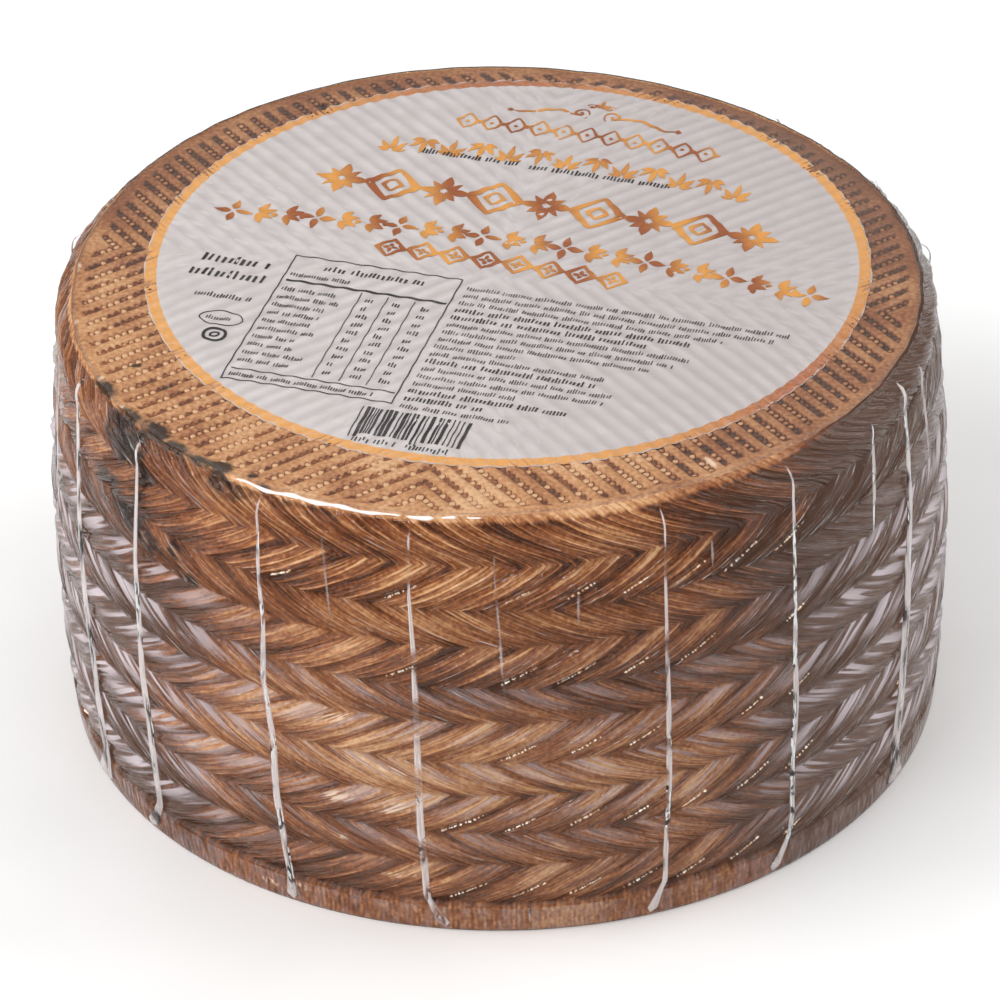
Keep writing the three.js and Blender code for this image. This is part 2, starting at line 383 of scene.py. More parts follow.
@dataclass(frozen=True)
class PressRibs:
    """The ribs of the press board: in each quarter they run along the line through its middle."""

    pitch: float = 3.97
    groove_half: float = 1.12
    first_middle: float = 34.0
    bead_pitch: float = 1.72
    bead_half: float = 0.86
    stagger: float = 0.37

    def frame(self, x: Array, y: Array) -> tuple[Array, Array]:
        """Where a point lies among the ribs.

        Args:
            x: place about the face's middle.
            y: place about the face's middle.

        Returns:
            The distance from the quarter's middle line and the distance along it.
        """
        azimuth = np.degrees(np.arctan2(y, x))
        quarter = np.floor(((azimuth - self.first_middle + 45.0) % 360.0) / 90.0)
        middle = np.radians(self.first_middle + 90.0 * quarter)
        aside = np.abs(-x * np.sin(middle) + y * np.cos(middle))
        along = x * np.cos(middle) + y * np.sin(middle)
        return aside, along

    def groove(self, x: Array, y: Array) -> Array:
        """1 in the middle of a groove's flat bottom, 0 on a rib."""
        away = np.abs(((self.frame(x, y)[0] / self.pitch) % 1.0) - 0.5) * self.pitch
        return 1 - smoothstep(0.5 * self.groove_half, self.groove_half, away)

    def beads(self, x: Array, y: Array) -> Array:
        """The row of small beads in the grooves, 0 to 1."""
        aside, along = self.frame(x, y)
        number = np.floor(aside / self.pitch)
        away = (((aside / self.pitch) % 1.0) - 0.5) * self.pitch
        step = along / self.bead_pitch + self.stagger * number
        ahead = ((step % 1.0) - 0.5) * 2
        return np.clip(1 - ahead**2 - (away / self.bead_half) ** 2, 0, 1) ** 0.5

    def lay(self, x: Array, y: Array) -> Array:
        """The distances from and along the quarter's middle line, as a mark for the surface."""
        aside, along = self.frame(x, y)
        return np.stack([aside, along, np.zeros_like(along)], -1)

    def swell(self, x: Array, y: Array) -> Array:
        """A soft wave over the ribs, 0 on a rib and 1 over a groove."""
        return 0.5 - 0.5 * np.cos(2 * np.pi * self.frame(x, y)[0] / self.pitch)


# ---- Marks on the cheese ----


@dataclass(frozen=True)
class Spot:
    """A mark on a surface: its place, its reach and how strong it is."""

    at: Pair
    reach: Pair
    strength: float = 1.0
    tilt: float = 0.0

    def mask(self, u: Array, v: Array, wrap: bool = False) -> Array:
        """How much of the mark lies at a place, 0 to its strength."""
        du = wrapped(u - self.at[0]) if wrap else u - self.at[0]
        dv = v - self.at[1]
        turn = math.radians(self.tilt)
        a = (du * math.cos(turn) + dv * math.sin(turn)) / self.reach[0]
        b = (-du * math.sin(turn) + dv * math.cos(turn)) / self.reach[1]
        return self.strength * np.exp(-((a * a + b * b) ** 1.3))


def joined(spots: Iterable[Spot], u: Array, v: Array, wrap: bool = False) -> Array:
    """Several marks as one mask, 0 to 1."""
    clear = np.ones_like(np.asarray(u, float))
    for spot in spots:
        clear = clear * (1 - np.clip(spot.mask(u, v, wrap), 0, 1))
    return 1 - clear


# Places on the side are azimuth in degrees and height, and reach is in degrees and millimetres.
SIDE_MOULD = (
    Spot((-146, 101), (4.5, 6), 0.9),
    Spot((-141.5, 95), (1.6, 9), 0.75),
    Spot((-149, 89), (3.2, 4), 0.75, 40),
    Spot((-144, 83), (4.2, 3), 0.8, -25),
    Spot((-139, 80), (2, 4), 0.55),
    Spot((-135, 82), (1.0, 2.8), 1.0),
    Spot((-132.3, 77.5), (2.2, 1.6), 0.85, -25),
    Spot((-127, 103.5), (5, 2.2), 0.6),
    Spot((-116, 104.5), (7, 1.5), 0.4),
    Spot((150, 92), (4, 7), 0.5),
    Spot((100, 101), (5, 4), 0.45),
    Spot((62, 97), (3, 6), 0.4),
)
SIDE_CREAM = (
    Spot((-111.5, 54.5), (3.4, 0.8), 0.95, 25),
    Spot((-108, 44.8), (3.8, 0.55), 0.8, -15),
    Spot((-104, 43.2), (2.0, 0.5), 0.8, -10),
    Spot((-101, 45.6), (1.2, 0.6), 0.6, -20),
    Spot((-110.5, 34), (3.8, 1.3), 0.7, 24),
    Spot((-103.5, 33.5), (3.4, 1.2), 0.8, 26),
    Spot((-112, 15.5), (2.4, 1.0), 0.65),
    Spot((-104, 14.5), (3.0, 1.0), 0.6, 20),
    Spot((-111, 23), (2.6, 0.9), 0.5, -15),
    Spot((-95.5, 9.5), (1.2, 0.8), 0.3),
    Spot((-122, 3.5), (2.4, 1.2), 0.5),
    Spot((-117, 5), (2.0, 1.5), 0.4),
    Spot((40, 52), (3.6, 0.9), 0.7, 24),
    Spot((118, 33), (3.6, 1.0), 0.7, 24),
    Spot((-178, 61), (3.0, 0.9), 0.6, -20),
)
# Places on the top are millimetres about its middle.
TOP_MOULD = (
    Spot((-78.9, -33.3), (1.4, 1.1), 0.9),
    Spot((-71.9, -41.7), (1.1, 1.0), 0.8),
    Spot((-58.8, -72.9), (2.4, 1.6), 0.95, 20),
    Spot((-52.1, -77.1), (1.4, 1.0), 0.8),
    Spot((-74.0, -58.5), (2.2, 3.4), 1.0, 12),
    Spot((-72.9, -65.0), (2.4, 2.4), 0.9),
    Spot((-85.6, -42.6), (3.8, 2.6), 1.0, -63),
    Spot((-79.4, -53.0), (4.8, 2.2), 0.95, -56),
    Spot((-73.6, -60.4), (3.6, 3.0), 1.0, -52),
    Spot((-69.0, -66.2), (4.2, 2.4), 1.0, -46),
    Spot((-63.4, -71.2), (3.2, 1.8), 0.9, -42),
    Spot((-59.0, -73.8), (2.8, 2.0), 1.0, -38),
    Spot((-50.0, -81.0), (3.0, 1.2), 0.5, -32),
    Spot((-87, -38.5), (1.2, 2.2), 0.5, 20),
    Spot((84.5, -30.5), (2.2, 3.6), 0.35),
    Spot((-40, 78), (2.4, 1.6), 0.5),
    Spot((30, 84), (1.6, 1.2), 0.4),
)
TOP_CREAM = (
    Spot((-81.7, -49.5), (1.5, 0.9), 0.9, 35),
    Spot((-86.7, -38.3), (1.3, 0.9), 0.9, 30),
    Spot((-92.0, -27.6), (1.2, 1.2), 0.8),
    Spot((-93.6, 8.2), (0.9, 2.4), 0.8),
    Spot((-93.0, -14.7), (0.8, 1.6), 0.7),
    Spot((45.3, -75.0), (2.3, 0.8), 1.0, -60),
    Spot((-66, -58), (1.0, 0.6), 0.4),
    Spot((79, 31), (1.2, 0.8), 0.4),
)


# ---- Making meshes ----


def select_only(piece: bpy.types.Object | None) -> None:
    """Leaves one object, or none, selected and active."""
    if bpy.context.object and bpy.context.object.mode != "OBJECT":
        bpy.ops.object.mode_set(mode="OBJECT")
    bpy.ops.object.select_all(action="DESELECT")
    bpy.context.view_layer.objects.active = piece
    if piece:
        piece.select_set(True)


class Lattice:
    """A closed shell of rings, from one pole to the other: a grid that is wrapped round and welded."""

    def __init__(self, name: str) -> None:
        """Starts an empty shell with the name of its piece."""
        self.name = name
        self.rings: list[Array] = []
        self.marks: list[dict[str, Array]] = []

    def add(self, points: Array, **marks: Array | float) -> None:
        """Adds rings of points with their marks.

        Args:
            points: columns and x, y and z, with the rings first where there are several.
            marks: named values for the surface, for each point or for all, with x, y and z last for a place.
        """
        rings = points if points.ndim == 3 else points[None]
        self.rings.append(rings)
        shapes = {k: rings.shape[: 3 if np.ndim(v) == points.ndim else 2] for k, v in marks.items()}
        self.marks.append({k: np.broadcast_to(v, shapes[k]) for k, v in marks.items()})

    def _mark(self, key: str) -> Array:
        """One mark over the whole lattice, 0 where it wasn't given."""
        last = next(marks[key].shape[2:] for marks in self.marks if key in marks)
        given = zip(self.rings, self.marks)
        return np.concatenate([marks.get(key, np.zeros(rings.shape[:2] + last)) for rings, marks in given])

    def build(self, crease: float = 85.0) -> bpy.types.Object:
        """Makes the piece.

        Args:
            crease: edges sharper than this many degrees stay sharp.

        Returns:
            The piece, closed and with its faces out.
        """
        points = np.concatenate(self.rings)
        stations, columns = points.shape[:2]
        select_only(None)
        bpy.ops.mesh.primitive_grid_add(x_subdivisions=columns, y_subdivisions=stations - 1, size=1)
        piece = bpy.context.object
        piece.name = piece.data.name = self.name
        piece.data.vertices.foreach_set("co", self._wrap(points).astype(np.float32).ravel())
        for key in sorted({k for marks in self.marks for k in marks}):
            values = self._wrap(self._mark(key)).astype(np.float32)
            kind, slot = ("FLOAT_VECTOR", "vector") if values.ndim == 3 else ("FLOAT", "value")
            piece.data.attributes.new(key, kind, "POINT").data.foreach_set(slot, values.ravel())
        while piece.data.uv_layers:
            piece.data.uv_layers.remove(piece.data.uv_layers[0])
        bpy.ops.object.mode_set(mode="EDIT")
        bpy.ops.mesh.select_all(action="SELECT")
        bpy.ops.mesh.remove_doubles(threshold=2e-6)
        bpy.ops.mesh.normals_make_consistent(inside=False)
        bpy.ops.object.mode_set(mode="OBJECT")
        piece.matrix_world = Matrix.Identity(4)
        bpy.ops.object.shade_smooth_by_angle(angle=math.radians(crease))
        return piece

    @staticmethod
    def _wrap(values: Array) -> Array:
        """Values with the first column said again at the end."""
        return np.concatenate([values, values[:, :1]], axis=1)


# ---- Shader work ----


class Graph:
    """A material's or a group's node tree, with short words for the nodes it uses."""

    def __init__(self, tree: bpy.types.NodeTree) -> None:
        """Takes a tree and empties it."""
        self.tree = tree
        tree.nodes.clear()

    def node(self, kind: str, inputs: dict | None = None, **settings: object) -> bpy.types.Node:
        """Adds a node.

        Args:
            kind: the node's type name.
            inputs: values or sockets for its inputs, by name or number.
            settings: its own settings.

        Returns:
            The node.
        """
        made = self.tree.nodes.new(kind)
        for key, value in settings.items():
            setattr(made, key, value)
        for key, value in (inputs or {}).items():
            if isinstance(value, bpy.types.NodeSocket):
                self.tree.links.new(value, made.inputs[key])
            else:
                made.inputs[key].default_value = value
        return made

    def math(self, operation: str, *values: object, clamp: bool = False) -> bpy.types.NodeSocket:
        """A Math node's result."""
        inputs = dict(enumerate(values))
        return self.node("ShaderNodeMath", inputs, operation=operation, use_clamp=clamp).outputs[0]

    def swing(self, value: object, gain: float, onto: object) -> bpy.types.NodeSocket:
        """A value's swing about 0.5, times a gain, added onto another value."""
        return self.math("MULTIPLY_ADD", self.math("SUBTRACT", value, 0.5), gain, onto)

    def mix(self, factor: object, a: object, b: object) -> bpy.types.NodeSocket:
        """Two colours mixed."""
        return self.node("ShaderNodeMix", {0: factor, 6: a, 7: b}, data_type="RGBA").outputs[2]

    def range(self, value: object, low: float, high: float, to_low: float = 0, to_high: float = 1) -> object:
        """A value moved from one range to another, kept inside it."""
        inputs = {"Value": value, "From Min": low, "From Max": high, "To Min": to_low, "To Max": to_high}
        return self.node("ShaderNodeMapRange", inputs).outputs[0]

    def attribute(self, name: str, out: str = "Fac") -> bpy.types.NodeSocket:
        """A mark of the mesh."""
        return self.node("ShaderNodeAttribute", attribute_name=name).outputs[out]

    def noise(self, place: object, scale: float, detail: float = 3, rough: float = 0.5) -> object:
        """A noise, about 0.5."""
        inputs = {"Vector": place, "Scale": scale, "Detail": detail, "Roughness": rough}
        return self.node("ShaderNodeTexNoise", inputs).outputs["Fac"]

    def ramp(self, value: object, stops: Sequence[tuple[float, Colour]]) -> bpy.types.NodeSocket:
        """A colour ramp."""
        made = self.node("ShaderNodeValToRGB", {"Fac": value})
        elements = made.color_ramp.elements
        elements[0].position, elements[-1].position = stops[0][0], stops[-1][0]
        elements[0].color, elements[-1].color = stops[0][1], stops[-1][1]
        for place, colour in stops[1:-1]:
            elements.new(place).color = colour
        return made.outputs["Color"]

    def stretched(self, place: object, scale: Triple) -> bpy.types.NodeSocket:
        """A place with its axes scaled."""
        return self.node("ShaderNodeMapping", {"Vector": place, "Scale": scale}).outputs[0]

    def place(self) -> bpy.types.NodeSocket:
        """The object's own coordinates."""
        return self.node("ShaderNodeTexCoord").outputs["Object"]

    def group(self, group: bpy.types.NodeTree, inputs: dict) -> bpy.types.Node:
        """A node group put to use."""
        return self.node("ShaderNodeGroup", inputs, node_tree=group)

    def bump(self, height: object, strength: float, distance: float) -> bpy.types.NodeSocket:
        """The normal of a surface with a height over it, the distance in metres."""
        inputs = {"Height": height, "Strength": strength, "Distance": distance}
        return self.node("ShaderNodeBump", inputs).outputs[0]

    def surface(self, out: bpy.types.Node, inputs: dict) -> None:
        """Ends a material with a Principled shader."""
        shader = self.node("ShaderNodeBsdfPrincipled", inputs)
        self.tree.links.new(shader.outputs[0], out.inputs["Surface"])


class Kind(enum.Enum):
    """Kinds of sockets on a node group."""

    VALUE = "NodeSocketFloat"
    PLACE = "NodeSocketVector"
    COLOUR = "NodeSocketColor"


def new_group(name: str, inputs: dict[str, Kind], outputs: dict[str, Kind]) -> tuple:
    """Starts a shader node group.

    Args:
        name: the group's name.
        inputs: names and kinds of what it takes in.
        outputs: names and kinds of what it puts out.

    Returns:
        The group, its graph, and its input and output nodes.
    """
    group = bpy.data.node_groups.new(name, "ShaderNodeTree")
    graph = Graph(group)
    for key, kind in inputs.items():
        group.interface.new_socket(key, in_out="INPUT", socket_type=kind.value)
    for key, kind in outputs.items():
        group.interface.new_socket(key, in_out="OUTPUT", socket_type=kind.value)
    return group, graph, graph.node("NodeGroupInput"), graph.node("NodeGroupOutput")


@dataclass(frozen=True)
class SurfaceGroups:
    """The node groups that the rind and the film share."""

    streaks: bpy.types.NodeTree
    ridges: bpy.types.NodeTree
    beads: bpy.types.NodeTree
    pigment: bpy.types.NodeTree


def fibre_streaks() -> bpy.types.NodeTree:
    """The group for streaks along the fibres, which read the mesh's own lay of the fibres."""
    inputs = {"Lay": Kind.PLACE, "Scale": Kind.VALUE}
    group, g, source, sink = new_group("FibreStreaks", inputs, {"Streak": Kind.VALUE})
    long_way = g.stretched(source.outputs["Lay"], (1, 1, 0.36))
    noise = g.node("ShaderNodeTexNoise", {"Vector": long_way, "Scale": source.outputs["Scale"], "Detail": 0.0})
    g.tree.links.new(noise.outputs["Fac"], sink.inputs["Streak"])
    return group


def fibre_ridges() -> bpy.types.NodeTree:
    """The group for the narrow ridges between the fibres' imprints, with a seeded wander."""
    inputs = {"Turn": Kind.PLACE, "Wander": Kind.VALUE}
    group, g, source, sink = new_group("FibreRidges", inputs, {"Ridge": Kind.VALUE})
    turn = g.node("ShaderNodeSeparateXYZ", {0: source.outputs["Turn"]})
    phase = g.math("DIVIDE", g.math("ARCTAN2", turn.outputs[1], turn.outputs[0]), 2 * math.pi)
    phase = g.swing(source.outputs["Wander"], 0.55, phase)
    away = g.math("PINGPONG", phase, 0.5)
    g.tree.links.new(g.range(away, 0.03, 0.2, 1, 0), sink.inputs["Ridge"])
    return group


def press_beads(ribs: PressRibs) -> bpy.types.NodeTree:
    """The group for the grooves of the press board and the beads in them.

    Args:
        ribs: sizes of the ribs.

    Returns:
        The group.
    """
    outputs = {"Groove": Kind.VALUE, "Bead": Kind.VALUE}
    group, g, source, sink = new_group("PressBeads", {"Rib": Kind.PLACE}, outputs)
    rib = g.node("ShaderNodeSeparateXYZ", {0: source.outputs["Rib"]})
    count = g.math("DIVIDE", rib.outputs[0], ribs.pitch)
    number = g.math("FLOOR", count)
    away = g.math("MULTIPLY", g.math("SUBTRACT", g.math("FRACT", count), 0.5), ribs.pitch)
    groove = g.range(g.math("ABSOLUTE", away), 0.5 * ribs.groove_half, ribs.groove_half, 1, 0)
    step = g.math("DIVIDE", rib.outputs[1], ribs.bead_pitch)
    step = g.math("MULTIPLY_ADD", number, ribs.stagger, step)
    ahead = g.math("MULTIPLY", g.math("SUBTRACT", g.math("FRACT", step), 0.5), 2.0)
    beside = g.math("DIVIDE", away, ribs.bead_half)
    reach = g.math("ADD", g.math("MULTIPLY", ahead, ahead), g.math("MULTIPLY", beside, beside))
    dome = g.math("SQRT", g.math("SUBTRACT", 1.0, reach, clamp=True))
    cell = g.node("ShaderNodeCombineXYZ", {0: g.math("FLOOR", step), 1: number})
    chance = g.node("ShaderNodeTexWhiteNoise", {"Vector": cell.outputs[0]}, noise_dimensions="2D")
    dome = g.math("MULTIPLY", dome, g.range(chance.outputs["Value"], 0.1, 0.7, 0.3, 1.0))
    g.tree.links.new(groove, sink.inputs["Groove"])
    g.tree.links.new(dome, sink.inputs["Bead"])
    return group


def new_material(name: str) -> tuple[bpy.types.Material, Graph, bpy.types.Node]:
    """Starts a material: the material, its graph and its output node."""
    material = bpy.data.materials.new(name)
    material.use_nodes = True
    graph = Graph(material.node_tree)
    return material, graph, graph.node("ShaderNodeOutputMaterial")


@dataclass(frozen=True)
class RindPigment:
    """The rind's colours, from the dark of a furrow to the light of a ridge, greyed by painted sheen and shade,
    with mould and cream on them.
    """

    pit: Colour = srgb(68, 38, 23)
    deep: Colour = srgb(106, 60, 35)
    middle: Colour = srgb(152, 92, 56)
    light: Colour = srgb(203, 147, 99)
    palest: Colour = srgb(228, 182, 138)
    # The greyish colour that painted sheen and painted shade mix into the rind.
    painted_grey: Colour = srgb(134, 107, 92)
    mould: Colour = srgb(36, 29, 25)
    cream: Colour = srgb(240, 212, 184)

    def build(self) -> bpy.types.NodeTree:
        """Makes the group."""
        inputs = {name: Kind.VALUE for name in ("Tone", "Painted Greying", "Mould", "Cream")} | {"Place": Kind.PLACE}
        group, g, source, sink = new_group("RindPigment", inputs, {"Colour": Kind.COLOUR})
        stops = ((0.05, self.pit), (0.25, self.deep), (0.52, self.middle), (0.8, self.light), (1.0, self.palest))
        colour = g.ramp(source.outputs["Tone"], stops)
        # Painted sheen and shade: the rind greyed by its mark.
        colour = g.mix(source.outputs["Painted Greying"], colour, self.painted_grey)
        ragged = g.math("SUBTRACT", g.noise(source.outputs["Place"], 420.0, 1, 0.65), 0.5)
        mould = source.outputs["Mould"]
        patchy = g.math("MULTIPLY_ADD", g.math("MULTIPLY", ragged, 2.2), mould, mould)
        colour = g.mix(g.range(patchy, 0.2, 0.7, 0, 0.92), colour, self.mould)
        cream = g.math("MULTIPLY_ADD", ragged, 1.1, source.outputs["Cream"])
        colour = g.mix(g.range(cream, 0.36, 0.75, 0, 0.85), colour, self.cream)
        g.tree.links.new(colour, sink.inputs["Colour"])
        return group


@dataclass(frozen=True)
class PlaitedFinish:
    """Rind with the imprint of grass: fine tan ridges over brown furrows, streaked along the fibres, with painted
    shade in the furrows and painted light and shade by place.
    """

    ridge_light: float = 0.34
    hollow_painted_shade: float = 0.26
    ground: float = 0.42

    def build(self, groups: SurfaceGroups) -> bpy.types.Material:
        """Makes the material.

        Args:
            groups: the shared node groups.

        Returns:
            The material.
        """
        material, g, out = new_material("plaited_rind")
        lay, place = g.attribute("lay", "Vector"), g.place()
        coarse = g.group(groups.streaks, {"Lay": lay, "Scale": 260.0}).outputs[0]
        fine = g.group(groups.streaks, {"Lay": lay, "Scale": 1300.0}).outputs[0]
        turn = g.attribute("fibre_turn", "Vector")
        ridge = g.group(groups.ridges, {"Turn": turn, "Wander": coarse}).outputs[0]
        ridge = g.math("MULTIPLY", ridge, g.attribute("plait"))
        mottle = g.noise(place, 42.0, 0)
        grain = g.noise(place, 1200.0, 0)
        broad = g.math("MULTIPLY_ADD", g.attribute("plait"), 0.5, 0.15)
        tone = g.swing(coarse, broad, self.ground)
        for noise, gain in ((fine, 0.62), (mottle, 0.6), (grain, 0.4)):
            tone = g.swing(noise, gain, tone)
        tone = g.math("MULTIPLY_ADD", g.math("MULTIPLY", ridge, g.attribute("crisp")), self.ridge_light, tone)
        # Painted shade in the furrows between the bundles and the rows.
        tone = g.math("MULTIPLY_ADD", g.attribute("hollow"), -self.hollow_painted_shade, tone)
        tone = g.math("MULTIPLY_ADD", g.attribute("tone"), 0.08, tone)
        # Painted light and shade by place on the side.
        tone = g.math("ADD", tone, g.attribute("shade"))
        marks = {"Tone": tone, "Painted Greying": g.attribute("dull"), "Place": place}
        cream = g.math("MULTIPLY", g.attribute("cream"), g.range(fine, 0.4, 0.6, 0.25, 1.3))
        marks |= {"Mould": g.attribute("mould"), "Cream": cream}
        colour = g.group(groups.pigment, marks).outputs[0]
        height = g.math("MULTIPLY_ADD", ridge, 1.1, g.math("MULTIPLY", fine, 0.6))
        normal = g.bump(height, 0.6, 0.0004)
        rough = g.range(grain, 0.3, 0.7, 0.42, 0.62)
        g.surface(out, {"Base Color": colour, "Roughness": rough, "Specular IOR Level": 0.0, "Normal": normal})
        return material


@dataclass(frozen=True)
class RibbedFinish:
    """Rind with the ribs of the press board: tan ribs, brown grooves and a row of round beads in each, with
    painted shade in the grooves, painted highlights and shade on the beads, and painted light and shade by place.
    """

    ground: float = 0.77
    bead_painted_highlight: float = 0.62
    bead_painted_shade: float = 0.34

    def build(self, groups: SurfaceGroups) -> bpy.types.Material:
        """Makes the material.

        Args:
            groups: the shared node groups.

        Returns:
            The material.
        """
        material, g, out = new_material("ribbed_rind")
        place = g.place()
        press = g.group(groups.beads, {"Rib": g.attribute("rib", "Vector")})
        border = g.attribute("border")
        groove = g.math("MULTIPLY", press.outputs["Groove"], border)
        bead = g.math("MULTIPLY", press.outputs["Bead"], border)
        mottle = g.noise(place, 75.0, 0)
        grain = g.noise(place, 1000.0, 0)
        tone = g.swing(grain, 0.45, g.swing(mottle, 0.6, self.ground))
        # Painted shade in the grooves, more towards the back and the right.
        sunk = g.math("MULTIPLY", groove, g.attribute("deepen"))
        tone = g.math("SUBTRACT", tone, sunk)
        # A painted highlight in each bead's middle and a painted shade ring round it.
        tone = g.math("MULTIPLY_ADD", g.range(bead, 0.5, 0.9), self.bead_painted_highlight, tone)
        rim = g.math("MULTIPLY", g.range(bead, 0.0, 0.2), g.range(bead, 0.65, 0.3))
        tone = g.math("MULTIPLY_ADD", rim, -self.bead_painted_shade, tone)
        # Painted light and shade by place on the face.
        tone = g.math("ADD", tone, g.attribute("shade"))
        marks = {"Tone": tone, "Painted Greying": g.attribute("dull"), "Place": place}
        marks |= {"Mould": g.attribute("mould"), "Cream": g.attribute("cream")}
        colour = g.group(groups.pigment, marks).outputs[0]
        height = g.math("MULTIPLY_ADD", grain, 0.15, bead)
        normal = g.bump(height, 0.8, 0.0005)
        rough = g.math("MULTIPLY_ADD", bead, -0.2, 0.5)
        g.surface(out, {"Base Color": colour, "Roughness": rough, "Normal": normal})
        return material


@dataclass(frozen=True)
class PaperFinish:
    """Off-white label paper that lies over ribs, with a ring of gold near its edge, and painted shade over the
    grooves, towards the right and in its crinkles.
    """

    paper: Colour = srgb(211, 204, 202)
    # The paper's colour in painted shade.
    shade: Colour = srgb(187, 177, 175)
    gold: Colour = srgb(228, 160, 78)
    copper: Colour = srgb(176, 102, 56)
    ring: Pair = (79.0, 81.55)

    def build(self) -> bpy.types.Material:
        """Makes the material."""
        material, g, out = new_material("label_paper")
        place = g.place()
        crinkle = g.noise(place, 170.0, 1, 0.6)
        fine = g.noise(place, 1000.0, 0)
        # Painted shade where the paper dips over the grooves and towards the right, and in the crinkles.
        colour = g.mix(g.range(g.attribute("dip"), 0, 1.5, 0, 0.85), self.paper, self.shade)
        colour = g.mix(g.range(crinkle, 0.35, 0.65, 0.4, 0), colour, self.shade)
        reach = g.attribute("reach")
        inner, outer = self.ring
        inside = g.range(reach, inner - 0.06, inner + 0.06)
        ring = g.math("MULTIPLY", inside, g.range(reach, outer, outer + 0.12, 1, 0))
        ink = g.mix(g.attribute("passing"), self.gold, self.copper)
        worn = g.range(fine, 0.3, 0.7, 0.8, 1.0)
        colour = g.mix(g.math("MULTIPLY", ring, worn), colour, ink)
        height = g.math("MULTIPLY_ADD", fine, 0.1, crinkle)
        normal = g.bump(height, 0.6, 0.0007)
        rough = g.range(fine, 0.3, 0.7, 0.5, 0.65)
        g.surface(out, {"Base Color": colour, "Roughness": rough, "Normal": normal})
        return material


@dataclass(frozen=True)
class InkFinish:
    """Printed ink: one colour that passes into another where the print says so."""

    name: str
    first: Colour
    second: Colour

    def build(self) -> bpy.types.Material:
        """Makes the material."""
        material, g, out = new_material(self.name)
        worn = g.noise(g.place(), 1500.0, 2)
        mask = g.swing(worn, 0.35, g.attribute("passing"))
        colour = g.mix(g.range(mask, 0.05, 0.95), self.first, self.second)
        g.surface(out, {"Base Color": colour, "Roughness": g.range(worn, 0.3, 0.7, 0.36, 0.55)})
        return material


@dataclass(frozen=True)
class FilmFinish:
    """Clear shrink film: it shows what is behind it, mirrors the room and is a little milky in its folds.

    least is how milky it is at the least where it is slick. The milky veil is also painted sheen where its mark
    puts it, and a painted highlight where least is 1.
    """

    name: str = "shrink_film"
    # The veil's lilac colour, also the colour of the painted sheen.
    milk_and_sheen: Colour = srgb(206, 194, 198)
    index: float = 1.37
    roughness: float = 0.1
    least: float = 0.0

    def build(self, groups: SurfaceGroups) -> bpy.types.Material:
        """Makes the material.

        Args:
            groups: the shared node groups.

        Returns:
            The material.
        """
        material, g, out = new_material(self.name)
        lay, place = g.attribute("lay", "Vector"), g.place()
        streak = g.group(groups.streaks, {"Lay": lay, "Scale": 1000.0}).outputs[0]
        turn = g.attribute("fibre_turn", "Vector")
        ridge = g.group(groups.ridges, {"Turn": turn, "Wander": streak}).outputs[0]
        crease = g.noise(g.stretched(place, (1, 1, 0.35)), 150.0, 0)
        height = g.math("MULTIPLY_ADD", crease, 1.2, streak)
        height = g.math("MULTIPLY_ADD", ridge, g.math("MULTIPLY", g.attribute("tight"), 0.8), height)
        height = g.math("MULTIPLY", height, g.math("SUBTRACT", 1.0, g.attribute("slick")))
        normal = g.bump(height, 0.75, 0.0005)
        gloss = g.node("ShaderNodeBsdfGlossy", {"Roughness": self.roughness, "Normal": normal})
        clear = g.node("ShaderNodeBsdfTransparent")
        edge = g.node("ShaderNodeFresnel", {"IOR": self.index, "Normal": normal})
        shine = g.node("ShaderNodeMixShader", {0: edge.outputs[0], 1: clear.outputs[0], 2: gloss.outputs[0]})
        inputs = {"Base Color": self.milk_and_sheen, "Roughness": 0.4, "Specular IOR Level": 0.0, "Normal": normal}
        veil = g.node("ShaderNodeBsdfPrincipled", inputs)
        patchy = g.noise(g.stretched(lay, (1, 1, 0.28)), 470.0, 0)
        # The veil's mark: milkiness, and a painted sheen on the flanks and the rows.
        thick = g.math("MULTIPLY", g.attribute("haze"), g.range(patchy, 0.43, 0.57, 0.05, 1.5))
        haze = g.math("MAXIMUM", thick, g.math("MULTIPLY", g.attribute("slick"), self.least), clamp=True)
        film = g.node("ShaderNodeMixShader", {0: haze, 1: shine.outputs[0], 2: veil.outputs[0]})
        ray = g.node("ShaderNodeLightPath")
        passing = g.math("MAXIMUM", ray.outputs["Is Shadow Ray"], ray.outputs["Is Diffuse Ray"])
        mixed = g.node("ShaderNodeMixShader", {0: passing, 1: film.outputs[0], 2: clear.outputs[0]})
        g.tree.links.new(mixed.outputs[0], out.inputs["Surface"])
        return material


@dataclass(frozen=True)
class SparkFinish:
    """Tiny pale beads under the film that glow a little: a painted glint."""

    def build(self) -> bpy.types.Material:
        """Makes the material."""
        material, g, out = new_material("glint_beads")
        tint = g.noise(g.place(), 500.0, 2)
        colour = g.ramp(tint, ((0.38, srgb(224, 184, 146)), (0.6, srgb(255, 244, 228))))
        # The glow is a painted glint.
        inputs = {"Base Color": colour, "Roughness": 0.16, "Emission Color": colour, "Emission Strength": 0.3}
        g.surface(out, inputs)
        return material


# ---- The cheese ----


